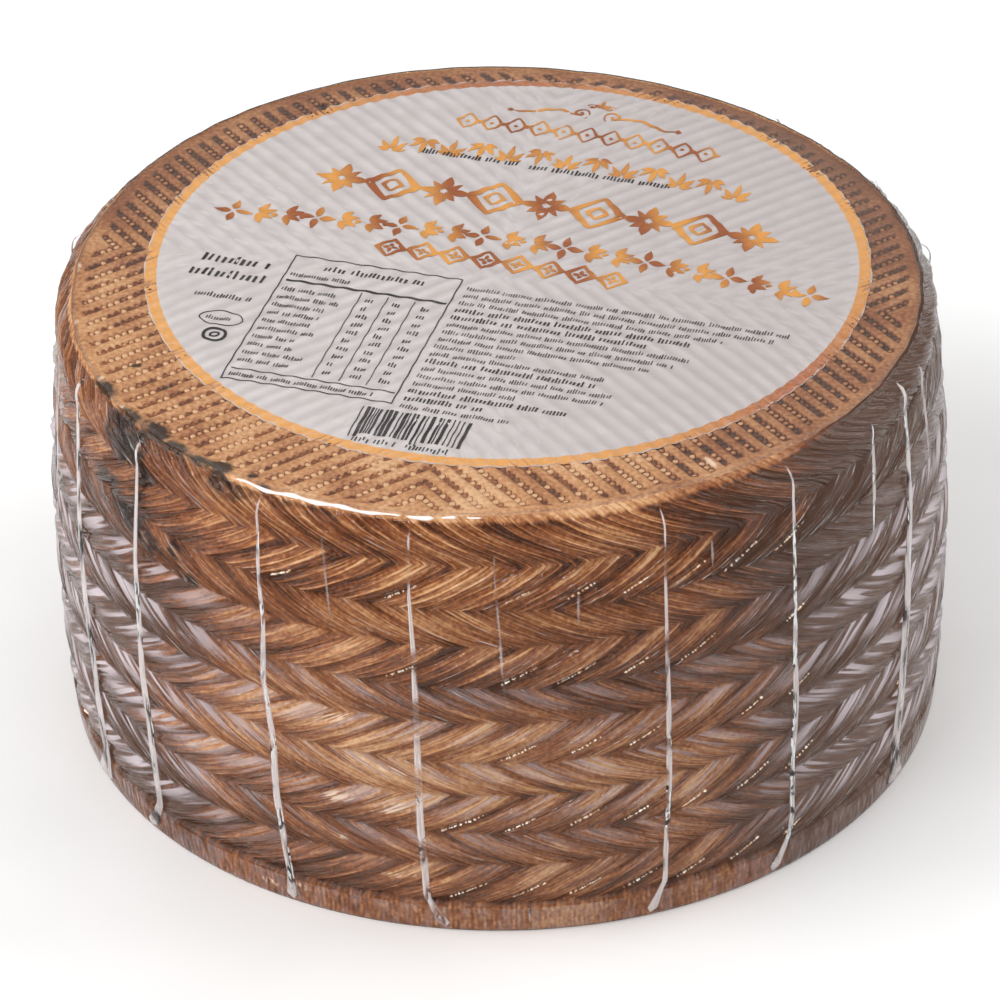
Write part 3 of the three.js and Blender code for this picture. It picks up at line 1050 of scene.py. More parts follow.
@dataclass
class Cheese:
    """The wheel of cheese: body with the plaited band, ribbed top and ribbed base."""

    form: WheelForm
    band: PlaitedBand
    ribs: PressRibs
    per_bundle: int = 24
    steps: tuple[float, ...] = (0.1, 0.28, 0.47, 0.66, 0.85, 1.0)
    face_rings: int = 37
    base_rings: int = 74
    base_columns: int = 588
    groove_depth: float = 0.85
    bead_height: float = 0.62
    strip_inset: float = 0.4
    strip_comb: float = 0.07
    rim_fill: float = 1.1
    body_floor: float = 2.5
    body_ceiling: float = 103.5
    top_under: float = 102.0
    base_over: float = 3.5
    label_centre: Pair = LABEL_CENTRE
    label_radius: float = LABEL_RADIUS

    def lay(self, lane: Array, height: Array) -> Array:
        """The place of a point in the lay of the fibres, in metres: round the wheel by its lane."""
        turn = 2 * np.pi * lane / self.band.bundles
        radius = self.form.base_radius * MM
        turn, height = np.broadcast_arrays(turn, height)
        return np.stack([radius * np.cos(turn), radius * np.sin(turn), height * MM], -1)

    def rim_swell(self, height: Array | float) -> Array:
        """How much fuller the side is towards the rim."""
        return self.rim_fill * smoothstep(98.5, 104.5, height)

    def band_radius(self, p: BandPoints, relief: Array) -> Array:
        """Radius of the band's points."""
        return self.form.outline(p.height, p.azimuth) + relief + self.rim_swell(p.height)

    def body(self) -> bpy.types.Object:
        """Makes the body: the strip at the foot, the plaited band and the rim."""
        form, band = self.form, self.band
        lane = band.lanes(self.per_bundle)
        azimuth = band.start + band.pitch * lane
        shell = Lattice("cheese_body")
        for radius in (0.0, form.base_radius - 3):
            shell.add(form.place(radius, azimuth, self.body_floor))
        for inset, height in ((form.base_edge, 0.0), (0.3, 0.35), (0.0, form.base_edge)):
            self._strip_ring(shell, azimuth, lane, form.base_radius - inset, height)
        comb = self.strip_comb * np.where(np.arange(azimuth.size) % 2 == 0, 1.0, -1.0)
        for height in np.linspace(2.0, band.foot - 1.6, 6):
            radius = form.outline(height, azimuth) - self.strip_inset + comb
            self._strip_ring(shell, azimuth, lane, radius, height)
        self._strip_ring(shell, azimuth, lane, form.outline(6.9, azimuth) - 0.05, band.foot - 0.8)
        p = band.points(self.per_bundle, self.steps)
        for points in (band.ring(band.points(self.per_bundle, (0.0,)), 0), p):
            self._band_rings(shell, points)
        self._rim(shell, p)
        return shell.build()

    def _band_rings(self, shell: Lattice, p: BandPoints) -> None:
        """Adds rings of the plaited band."""
        relief, hollow, tone = self.band.relief(p)
        marks = self._side_marks(p.azimuth, p.height)
        lens, _ = self.band.body(p)
        rising = np.where(p.row % 2 == 0, 1.0, 0.35)
        # Painted highlight on the upper tips of the rising bundles, and the rows a little darker: painted light
        # and shade.
        marks["shade"] = marks["shade"] + rising * (0.26 * smoothstep(0.4, 0.85, p.up) * lens - 0.08)
        shell.add(
            self.form.place(self.band_radius(p, relief), p.azimuth, p.height),
            lay=self.lay(p.lane[None, :], p.height),
            fibre_turn=np.broadcast_to(self.band.fibre_turn(p.lane), p.height.shape + (3,)),
            hollow=hollow,
            tone=tone,
            plait=1.0,
            **marks,
        )

    @staticmethod
    def _side_marks(azimuth: Array, height: Array | float) -> dict[str, Array]:
        """Mould, cream, painted light and shade, painted greying for the film's sheen and the shade, and crispness
        on the side.
        """
        near = wrapped(azimuth)
        front = np.exp(-((wrapped(near + 105) / 62) ** 2))
        upper = smoothstep(55, 100, height)
        right = smoothstep(-70, -30, near) * smoothstep(45, 5, near)
        middle = np.exp(-(((height - 46) / 17) ** 2))
        left = smoothstep(-108, -146, near) + smoothstep(110, 150, near)
        # Painted light and shade: lighter in front and at middle heights, darker on the right and on the left
        # below.
        shade = 0.04 * upper * front + 0.02 * (1 - upper) + 0.34 * middle * front**2
        shade = shade - 0.84 * right - 0.36 * left * (1 - 0.8 * upper)
        return {
            "mould": joined(SIDE_MOULD, azimuth, height, True),
            "cream": joined(SIDE_CREAM, azimuth, height, True),
            "shade": shade,
            # Painted greying for the film's sheen and for shade: lower down, away from the front and on the right.
            "dull": np.clip(0.18 * (1 - upper) + 0.2 * (1 - front) + 0.25 * right, 0, 1),
            "crisp": 0.3 + 0.7 * upper * (0.45 + 0.55 * front),
        }

    def _strip_ring(
        self, shell: Lattice, azimuth: Array, lane: Array, radius: Array | float, height: float
    ) -> None:
        """Adds a ring of the plain strip under the band."""
        marks = self._side_marks(azimuth, height)
        # The side's painted light and shade, a little lighter on the strip.
        marks["shade"] = marks["shade"] + 0.16
        tone = np.where(np.arange(azimuth.size) % 2 == 0, 1.0, -1.0)
        points = self.form.place(radius, azimuth, height)
        shell.add(points, lay=self.lay(lane, height), hollow=0.25, tone=tone, **marks)

    def _rim(self, shell: Lattice, p: BandPoints) -> None:
        """Adds the rings from the band's upper edge over the rim, and closes the body inside."""
        form, band = self.form, self.band
        last = band.ring(p, -1)
        relief = band.relief(last)[0]
        ridge = band.fibre(last)[0][0]
        start = self.band_radius(last, relief)[0]
        for share, height in ((0.3, 105.2), (0.68, 105.75), (1.0, form.height)):
            azimuth = last.azimuth[0] - band.rim_turn * share
            crest = form.crest(azimuth)
            radius = start + (crest - start) * share + 0.12 * (1 - share) * (ridge - 0.4)
            marks = self._side_marks(azimuth, height)
            # The side's painted light and shade, lighter on the lip, and less painted greying.
            marks["shade"] = marks["shade"] + 0.3 + 0.1 * share
            marks["dull"] = marks["dull"] * 0.4
            turn = np.radians(azimuth)
            spots = joined(TOP_MOULD, radius * np.cos(turn), radius * np.sin(turn))
            marks["mould"] = np.maximum(0.5 * marks["mould"], spots)
            shell.add(
                form.place(radius, azimuth, height),
                lay=self.lay(p.lane, height),
                fibre_turn=band.fibre_turn(p.lane),
                plait=0.2 * (1 - share),
                **marks,
            )
        for radius in (crest - 1.0, 0.0):
            shell.add(form.place(radius, azimuth, self.body_ceiling))

    def label_reach(self, azimuth: Array, radius: float) -> Array:
        """Distance from the wheel's middle to a circle about the label's middle."""
        cx, cy = self.label_centre
        turn = np.radians(azimuth)
        along = cx * np.cos(turn) + cy * np.sin(turn)
        aside = -cx * np.sin(turn) + cy * np.cos(turn)
        return along + np.sqrt(radius**2 - aside**2)

    def top(self) -> bpy.types.Object:
        """Makes the ribbed top, a slab let into the body."""
        form, band = self.form, self.band
        azimuth = band.start + band.pitch * band.lanes(self.per_bundle)
        crest = form.crest(azimuth)
        under = self.label_reach(azimuth, self.label_radius - 2.5)
        shell = Lattice("cheese_top")
        for radius in (0.0, crest - 0.5):
            shell.add(form.place(radius, azimuth, self.top_under))
        for share in np.linspace(0, 1, self.face_rings):
            radius = crest + (under - crest) * share
            self._face_ring(shell, azimuth, radius, crest, form.height, 1.0)
        for radius in (under - 4, 0.0):
            shell.add(form.place(radius, azimuth, form.height - 1.2))
        return shell.build()

    def base(self) -> bpy.types.Object:
        """Makes the ribbed base, a slab let into the body."""
        form = self.form
        azimuth = np.arange(self.base_columns) * 360.0 / self.base_columns
        edge = form.base_radius - form.base_edge
        shell = Lattice("cheese_base")
        shell.add(form.place(0.0, azimuth, 0.0))
        for share in np.linspace(0.012, 1, self.base_rings) ** 0.75:
            self._face_ring(shell, azimuth, edge * share, edge + 1.0, 0.0, -1.0)
        for radius in (edge - 0.5, 0.0):
            shell.add(form.place(radius, azimuth, self.base_over))
        return shell.build()

    def border(self, azimuth: Array, inward: Array) -> Array:
        """0 on the plain border of a face and 1 among its ribs, by the distance from the edge."""
        uneven = 0.45 * Ripple(31, 40, 6).at(azimuth)
        return smoothstep(0.0, 1.0, (inward - 2.4 - uneven) / 1.3)

    def _face_ring(
        self, shell: Lattice, azimuth: Array, radius: Array | float, edge: Array | float, level: float, out: float
    ) -> None:
        """Adds a ring of a ribbed face.

        Args:
            shell: the face's lattice.
            azimuth: the columns' azimuths.
            radius: the ring's radius.
            edge: radius of the face's edge.
            level: height of the face.
            out: 1 for the top and -1 for the base.
        """
        turn = np.radians(azimuth)
        x, y = radius * np.cos(turn), radius * np.sin(turn) * out
        border = self.border(azimuth, edge - radius)
        bead = self.ribs.beads(x, y)
        dip = border * (self.groove_depth * self.ribs.groove(x, y) - self.bead_height * bead)
        dip = dip + 0.3 * smoothstep(2.4, 0.0, edge - radius) ** 2
        dip = dip + 0.1 * Ripple(91, 40, 3).at(azimuth) * smoothstep(0.0, 2.0, edge - radius)
        dip = dip * (radius > 2.0)
        on_top = 1.0 if out > 0 else 0.0
        back = on_top * smoothstep(-30, 60, y)
        right = on_top * smoothstep(10, 75, x)
        left = on_top * smoothstep(10, -60, x)
        # Painted shade: grooves and face darker towards the back and the right, the face a little on the left,
        # with painted greying there.
        marks = {
            "border": border,
            "deepen": 0.12 + 0.4 * np.clip(back + right, 0, 1),
            "mould": on_top * joined(TOP_MOULD, x, y),
            "cream": on_top * joined(TOP_CREAM, x, y),
            "shade": 0.035 - 0.19 * back - 0.22 * right - 0.04 * left,
            "dull": 0.05 + 0.25 * back + 0.22 * right,
        }
        points = self.form.place(radius, azimuth, level - out * dip)
        shell.add(points, rib=self.ribs.lay(x, y), **marks)


# ---- The label's form ----


@dataclass
class PaperForm:
    """Where the round paper label lies, and how it follows the ribs."""

    form: WheelForm
    ribs: PressRibs
    centre: Pair = LABEL_CENTRE
    radius: float = LABEL_RADIUS
    level: float = 0.42
    dip: float = 0.27
    edge_dip: float = 0.42

    def height_at(self, x: Array, y: Array) -> Array:
        """Height of the paper's upper side, in millimetres, at places about the top's middle."""
        away = np.hypot(x - self.centre[0], y - self.centre[1])
        edge = smoothstep(74.0, self.radius, away)
        soft = self.dip * (1 - edge) + self.edge_dip * edge
        sag = 0.28 * smoothstep(72.0, self.radius, away)
        return self.form.height + self.level - soft * self.ribs.swell(x, y) - sag


# ---- The film ----


@dataclass(frozen=True)
class Pleat:
    """A gathered fold of the film: azimuths in degrees, sizes in millimetres."""

    at: float
    drift: float
    kick: float
    width: float
    low: float = 1.2
    high: float = 105.0
    milk_and_sheen: float = 0.36


FAINT = 0.14
PLEATS = (
    Pleat(-157.5, 5, -3, 3.4),
    Pleat(-141.8, 2, -3, 2.0),
    Pleat(-121.2, 3.2, -0.4, 1.5),
    Pleat(-101.1, 0.8, 2.4, 1.5),
    Pleat(-69.7, -0.6, -2.2, 1.2),
    Pleat(-50.8, -1.8, -2.2, 1.4),
    Pleat(-26.8, -3.8, 1, 3.6),
    Pleat(8, 1.5, 2, 2.4),
    Pleat(47, -1.2, -2, 1.6),
    Pleat(86, 2.2, 1.6, 1.5),
    Pleat(124, -2.4, -2.2, 2),
    Pleat(166, -2, 2, 2.8),
    # Short ones that fade out on the side.
    Pleat(-35.4, -5.5, 0, 0.9, 77, 103.5, 0.4),
    Pleat(-20.6, 3.0, 0, 0.7, 78, 104.0, 0.4),
    Pleat(-112.3, 6.0, 0, 0.5, 79, 102.0, FAINT),
    Pleat(-90.8, 2.4, 0, 0.6, 60, 100.0, FAINT),
    Pleat(-80.4, -2.0, 0, 0.6, 79, 99.0, FAINT),
    Pleat(-63.4, 1.0, 0, 0.5, 88, 96.0, FAINT),
    Pleat(-88.4, 2.0, 0, 0.9, 2.5, 7.5),
    Pleat(-85.6, -2.0, 0, 0.6, 3.0, 7.2, FAINT),
    Pleat(-167, 2.0, 0, 1.0, 60, 103.0),
    Pleat(27, 2.0, 0, 0.7, 70, 103.0, FAINT),
    Pleat(105, -3.0, 0, 0.7, 74, 102.0, FAINT),
    Pleat(145, 2.0, 0, 0.6, 66, 99.0, FAINT),
)


# A pleat's section: across in its widths, and up in its heights.
PLEAT_SECTION = (
    (-0.5, -0.1), (0.5, -0.1), (0.5, 0.12), (0.36, 0.62), (0.16, 0.3), (-0.12, 0.85), (-0.4, 0.4), (-0.5, 0.1),
)


@dataclass
class ShrinkFilm:
    """The clear film, tight on the faces and spanning the side's furrows, its folds, white along the rim as a
    painted highlight, and the glowing beads under it, painted glints.
    """

    form: WheelForm
    band: PlaitedBand
    ribs: PressRibs
    cheese: Cheese
    paper: PaperForm
    face_rings: int = 20
    paper_rings: int = 60
    clearance: float = 0.07
    paper_gap: float = 0.24
    border_dip: float = 0.12
    pleat_height: float = 0.6
    pleat_clearance: float = 0.2
    pleat_stations: int = 72
    pleat_high: float = 101.0
    kick_height: float = 10.0
    short_pleat: float = 60.0
    foot_flare: float = 1.3
    # The rim's folds lie where the painted highlight runs along the rim.
    rim_folds: tuple[Triple, ...] = (
        (-125.6, -102.4, 1.35), (-101.8, -98.2, 1.5), (-97.4, -95.4, 1.1), (-94.2, -92.2, 0.8),
    )
    rim_highlight_fold_out: float = 0.55
    rim_highlight_fold_height: float = 105.95
    sparks_per_line: int = 17
    spark_size: Pair = (0.13, 0.3)
    # Painted glints: most lines of beads lie in the front stretch.
    spark_front: Pair = (-92.0, -52.0)
    spark_chances: Pair = (0.92, 0.1)
    seed: int = 21
    pleat_seed: int = 400

    def slack(self, azimuth: Array, height: Array) -> Array:
        """Where the film stands off the side, 0 to 1: tight under the rim in front, loose at the flanks."""
        near = wrapped(azimuth)
        low = smoothstep(90, 45, height)
        right = smoothstep(-75, -25, near) * smoothstep(110, 60, near)
        left = np.clip(smoothstep(-125, -160, near) + smoothstep(110, 150, near), 0, 1)
        loose = np.clip(0.5 * low + right * (0.45 + 0.55 * low) + left * (0.15 + 0.85 * low), 0, 1)
        return loose * smoothstep(106, 99, height)

    def haze(self, p: BandPoints, slack: Array) -> Array:
        """How milky the film is on the band, on the upper side of each row: a little where it stands off, and a
        painted sheen at the flanks and at middle heights.
        """
        lens, _ = self.band.body(p)
        near = wrapped(p.azimuth)
        upper = smoothstep(0.4, 0.8, np.broadcast_to(p.up, lens.shape))
        left = smoothstep(-116, -146, near) + smoothstep(110, 150, near)
        right = smoothstep(-62, -36, near) * smoothstep(110, 60, near)
        flank = np.clip(left + right, 0, 1) * smoothstep(86, 74, p.height)
        # Painted sheen at middle heights and, below, at the flanks.
        veil = 0.2 * upper * lens * smoothstep(78, 58, p.height) * smoothstep(14, 34, p.height) * (1 - flank)
        milk_and_sheen = slack * 0.1 * upper * lens + 0.56 * flank * upper * (0.25 + 0.75 * lens) + veil
        return np.clip(milk_and_sheen * (1 - 0.85 * joined(SIDE_MOULD, near, p.height, True)), 0, 1)

    def _over_cheese(self, p: BandPoints, whole: BandPoints, slack: Array) -> Array:
        """The film's relief, nowhere under the cheese.

        Args:
            p: points of the film, at every second column of the cheese.
            whole: points of the cheese.
            slack: how far the film stands off.

        Returns:
            The relief against the outline.
        """
        cheese = self.band.relief(whole)[0]
        highest = np.maximum(cheese, np.maximum(np.roll(cheese, 1, 1), np.roll(cheese, -1, 1)))[:, ::2]
        span = self.band.bridged(p, slack) + slack * 0.16 * Ripple(12, 40, 9).at(p.azimuth + 0.7 * p.height)
        return np.maximum(span, highest + self.clearance)

    def bag(self) -> bpy.types.Object:
        """Makes the bag, one closed skin."""
        form, band, steps = self.form, self.band, self.cheese.steps
        coarse = self.cheese.per_bundle // 2
        lane = band.lanes(coarse)
        azimuth = band.start + band.pitch * lane
        shell = Lattice("shrink_film")
        shell.add(form.place(0.0, azimuth, 0.02))
        foot = ((8.0, 0.02), (0.8, 0.02), (0.1, 0.35), (-self.clearance, 1.1))
        for inset, height in foot:
            self._plain_ring(shell, azimuth, lane, form.base_radius - inset, height, 0.1)
        for height, milk_and_sheen in ((3.0, 0.06), (5.2, 0.08), (6.8, 0.12)):
            self._plain_ring(shell, azimuth, lane, form.outline(height, azimuth) + 0.02, height, milk_and_sheen)
        for share in ((0.0,), steps):
            p, whole = band.points(coarse, share), band.points(self.cheese.per_bundle, share)
            if len(share) == 1:
                p, whole = band.ring(p, 0), band.ring(whole, 0)
            slack = self.slack(p.azimuth, p.height)
            relief = self._over_cheese(p, whole, slack)
            shell.add(
                form.place(self.cheese.band_radius(p, relief), p.azimuth, p.height),
                lay=self.cheese.lay(p.lane[None, :], p.height),
                fibre_turn=np.broadcast_to(band.fibre_turn(p.lane), p.height.shape + (3,)),
                haze=self.haze(p, slack),
                tight=1 - slack,
            )
        self._over_rim(shell, p, self.cheese.band_radius(p, relief)[-1])
        self._over_paper(shell, p.azimuth[-1] - band.rim_turn)
        return shell.build()

    def _plain_ring(
        self, shell: Lattice, azimuth: Array, lane: Array, radius: Array | float, height: float, milk_and_sheen: float
    ) -> None:
        """Adds a smooth ring under the band."""
        shell.add(self.form.place(radius, azimuth, height), lay=self.cheese.lay(lane, height), haze=milk_and_sheen)

    def _over_rim(self, shell: Lattice, p: BandPoints, start: Array) -> None:
        """Adds the rings over the rim and the ribbed border.

        Args:
            shell: the bag's lattice.
            p: points of the band.
            start: radius of the band's last ring.
        """
        form = self.form
        for share, height in ((0.3, 105.3), (0.68, 105.87), (1.0, 106.12)):
            azimuth = p.azimuth[-1] - self.band.rim_turn * share
            crest = form.crest(azimuth)
            shell.add(
                form.place(start + (crest - start) * share + 0.25, azimuth, height),
                lay=self.cheese.lay(p.lane, height),
                fibre_turn=self.band.fibre_turn(p.lane),
                tight=1 - share,
                slick=0.6 + 0.4 * share,
            )
        turn = np.radians(azimuth)
        paper = self.cheese.label_reach(azimuth, self.cheese.label_radius + 0.5)
        for share in np.linspace(0, 1, self.face_rings)[1:]:
            radius = crest + (paper - crest) * share
            x, y = radius * np.cos(turn), radius * np.sin(turn)
            border = self.cheese.border(azimuth, crest - radius)
            lift = 0.16 - border * self.border_dip * self.ribs.swell(x, y)
            shell.add(form.place(radius, azimuth, form.height + lift))

    def _over_paper(self, shell: Lattice, azimuth: Array) -> None:
        """Adds the rings over the label, up to the pole in its middle."""
        turn = np.radians(azimuth)
        reach = self.cheese.label_reach(azimuth, self.cheese.label_radius - 0.1)
        cx, cy = self.paper.centre
        for share in np.linspace(1, 0, self.paper_rings):
            x = cx + (reach * np.cos(turn) - cx) * share
            y = cy + (reach * np.sin(turn) - cy) * share
            height = self.paper.height_at(x, y) + self.paper_gap
            shell.add(self.form.top_point(x, y, height))

    def pleats(self) -> bpy.types.Object:
        """Makes the gathered pleats: narrow doubled folds that lie on the bag."""
        pieces = [self._pleat(pleat, number) for number, pleat in enumerate(PLEATS)]
        return self._joined(pieces, "film_pleats")

    def fold(self) -> bpy.types.Object:
        """Makes the tight folds along the rim, wholly milky white: a painted highlight."""
        return self._joined([self._rim_fold(*fold) for fold in self.rim_folds], "rim_highlight_fold")

    @staticmethod
    def _joined(pieces: list[bpy.types.Object], name: str) -> bpy.types.Object:
        """Joins pieces into one with a name."""
        select_only(pieces[0])
        for piece in pieces:
            piece.select_set(True)
        bpy.ops.object.join()
        whole = bpy.context.object
        whole.name = whole.data.name = name
        return whole

    def _pleat(self, pleat: Pleat, number: int) -> bpy.types.Object:
        """Makes one pleat: a flat closed tube with two ridges, its section swept up the side."""
        section = np.array(PLEAT_SECTION)
        rng = np.random.default_rng(self.pleat_seed + number)
        length = pleat.high - pleat.low
        steps = max(12, int(self.pleat_stations * length / 100))
        shell = Lattice(f"pleat_{number}")
        sway = rng.normal(0, 0.2, 8) * min(1.0, length / 90) ** 2
        swell = rng.uniform(0.88, 1.1, 9)
        for t in np.linspace(0, 1, steps + 1):
            height = pleat.low + length * t
            kick = min(max(1 - height / self.kick_height, 0.0), 1.0)
            azimuth = pleat.at + pleat.drift * (1 - height / self.pleat_high) + pleat.kick * kick
            azimuth += float(np.interp(t, np.linspace(0, 1, 8), sway))
            full = 0.32 + 0.78 * math.sin(0.5 * math.pi * min(1.0, 1.25 * (1 - t)))
            if length < self.short_pleat:
                full = 0.2 + 0.8 * math.sin(math.pi * (0.05 + 0.9 * t))
            full *= float(np.interp(t, np.linspace(0, 1, 9), swell))
            full += self.foot_flare * math.exp(-((height / 5.0) ** 2)) * (length > self.short_pleat)
            open_ = 0.0 if t in (0.0, 1.0) else 1.0
            wall = float(self.form.outline(np.array(height), np.array(azimuth)))
            degrees = azimuth + np.degrees(section[:, 0] * pleat.width * full * open_ / wall)
            lift = section[:, 1] * self.pleat_height * (0.4 + 0.4 * full) * open_
            lift = lift + 0.03 * math.sin(height * 0.3 + number) * open_
            lift = lift + self.pleat_clearance + self.cheese.rim_swell(height)
            points = self.form.place(wall + lift, degrees, height)
            shell.add(points, lay=points, haze=pleat.milk_and_sheen)
        return shell.build(40.0)

    def _rim_fold(self, start: float, end: float, width: float) -> bpy.types.Object:
        """Makes a tight round fold of the film that lies along the rim, white as a painted highlight.

        Args:
            start: azimuth where it begins.
            end: azimuth where it ends.
            width: its greatest width.

        Returns:
            The fold, a closed tube.
        """
        shell = Lattice(f"rim_highlight_fold_{-round(start)}")
        turns = np.radians(np.arange(8) * 45.0)
        steps = max(8, int(abs(end - start) * 2.5))
        for t in np.linspace(0, 1, steps + 1):
            azimuth = start + (end - start) * t
            thin = math.sin(math.pi * t) ** 0.35 * (0.8 + 0.2 * math.sin(azimuth * 1.7)) if 0 < t < 1 else 0.0
            half = 0.5 * width * thin
            middle = float(self.form.crest(np.array(azimuth))) + self.rim_highlight_fold_out
            radius = middle + half * np.cos(turns)
            height = self.rim_highlight_fold_height + 0.14 * math.sin(azimuth * 0.9) + 0.6 * half * np.sin(turns)
            points = self.form.place(radius, azimuth, height)
            # Wholly milky and slick: white as a painted highlight.
            shell.add(points, lay=points, haze=1.0, slick=1.0)
        return shell.build(60.0)

    def sparks(self) -> bpy.types.Object:
        """Makes the lines of tiny beads along the lower edges of the rising bundles, bright as painted glints."""
        select_only(None)
        bpy.ops.mesh.primitive_ico_sphere_add(subdivisions=1, radius=1.0)
        bead = bpy.context.object
        corners = np.array([v.co[:] for v in bead.data.vertices])
        faces = np.array([f.vertices[:] for f in bead.data.polygons])
        centres, sizes = self._spark_places()
        points = centres[:, None, :] + corners[None] * sizes[:, None, None] * MM
        count = len(corners)
        loops = faces[None] + count * np.arange(len(centres))[:, None, None]
        mesh = bpy.data.meshes.new("glint_beads")
        mesh.from_pydata(points.reshape(-1, 3).tolist(), [], loops.reshape(-1, 3).tolist())
        bead.data = mesh
        bead.name = "glint_beads"
        select_only(bead)
        bpy.ops.object.shade_smooth()
        return bead

    def _spark_places(self) -> tuple[Array, Array]:
        """Centres of the tiny beads, in metres, and their radii in millimetres."""
        rng = np.random.default_rng(self.seed)
        band = self.band
        centres, sizes = [], []
        for row in range(0, band.rows, 2):
            for bundle in range(-band.seam_bundles, band.bundles - band.seam_bundles):
                near = wrapped(band.start + band.pitch * bundle)
                in_front = self.spark_front[0] < near < self.spark_front[1]
                chance = self.spark_chances[0 if in_front else 1]
                drawn, low, high = rng.uniform(), rng.uniform(0.1, 0.26), rng.uniform(0.42, 0.6)
                jitter = rng.normal(0, 1, (self.sparks_per_line, 3))
                if drawn > chance:
                    continue
                up = np.linspace(low, high, self.sparks_per_line) + 0.012 * jitter[:, 0]
                p = band.line(row, up, bundle - 0.06)
                lift = np.maximum(band.bridged(p, self.slack(p.azimuth, p.height)), band.relief(p)[0])
                radius = self.cheese.band_radius(p, lift) + 0.14
                centres.append(self.form.place(radius, p.azimuth + 0.08 * jitter[:, 1:2], p.height)[:, 0])
                smallest, largest = self.spark_size
                sizes.append(smallest + (largest - smallest) * np.clip(np.abs(jitter[:, 2]) / 2, 0, 1))
        return np.concatenate(centres), np.concatenate(sizes)


# ---- The label ----


class Motif(enum.Enum):
    """The plain motifs of the gold friezes."""

    LOZENGE = enum.auto()
    PALMETTE = enum.auto()
    ROSETTE = enum.auto()
    GARLAND = enum.auto()
    CHAIN = enum.auto()


@dataclass(frozen=True)
class Frieze:
    """A row of motifs on the label, along a line that may arch."""

    motif: Motif
    start: float
    end: float
    level: float
    arch: float
    height: float
    count: int
    stroke: float

    def baseline(self, u: float) -> float:
        """Height of the row's middle line on the label."""
        middle = (self.start + self.end) / 2
        half = (self.end - self.start) / 2
        return self.level + self.arch * (1 - ((u - middle) / half) ** 2) + self.height / 2


FRIEZES = (
    Frieze(Motif.LOZENGE, -30.0, 33.5, 53.8, 1.2, 6.6, 11, 0.95),
    Frieze(Motif.PALMETTE, -44.0, 45.5, 38.4, 3.6, 7.2, 13, 1.15),
    Frieze(Motif.ROSETTE, -53.5, 56.4, 18.0, 1.0, 12.8, 9, 2.1),
    Frieze(Motif.GARLAND, -70.0, 72.0, -0.6, 5.2, 8.6, 22, 1.9),
    Frieze(Motif.CHAIN, -31.0, 28.5, -5.4, 0.8, 7.8, 8, 1.5),
)


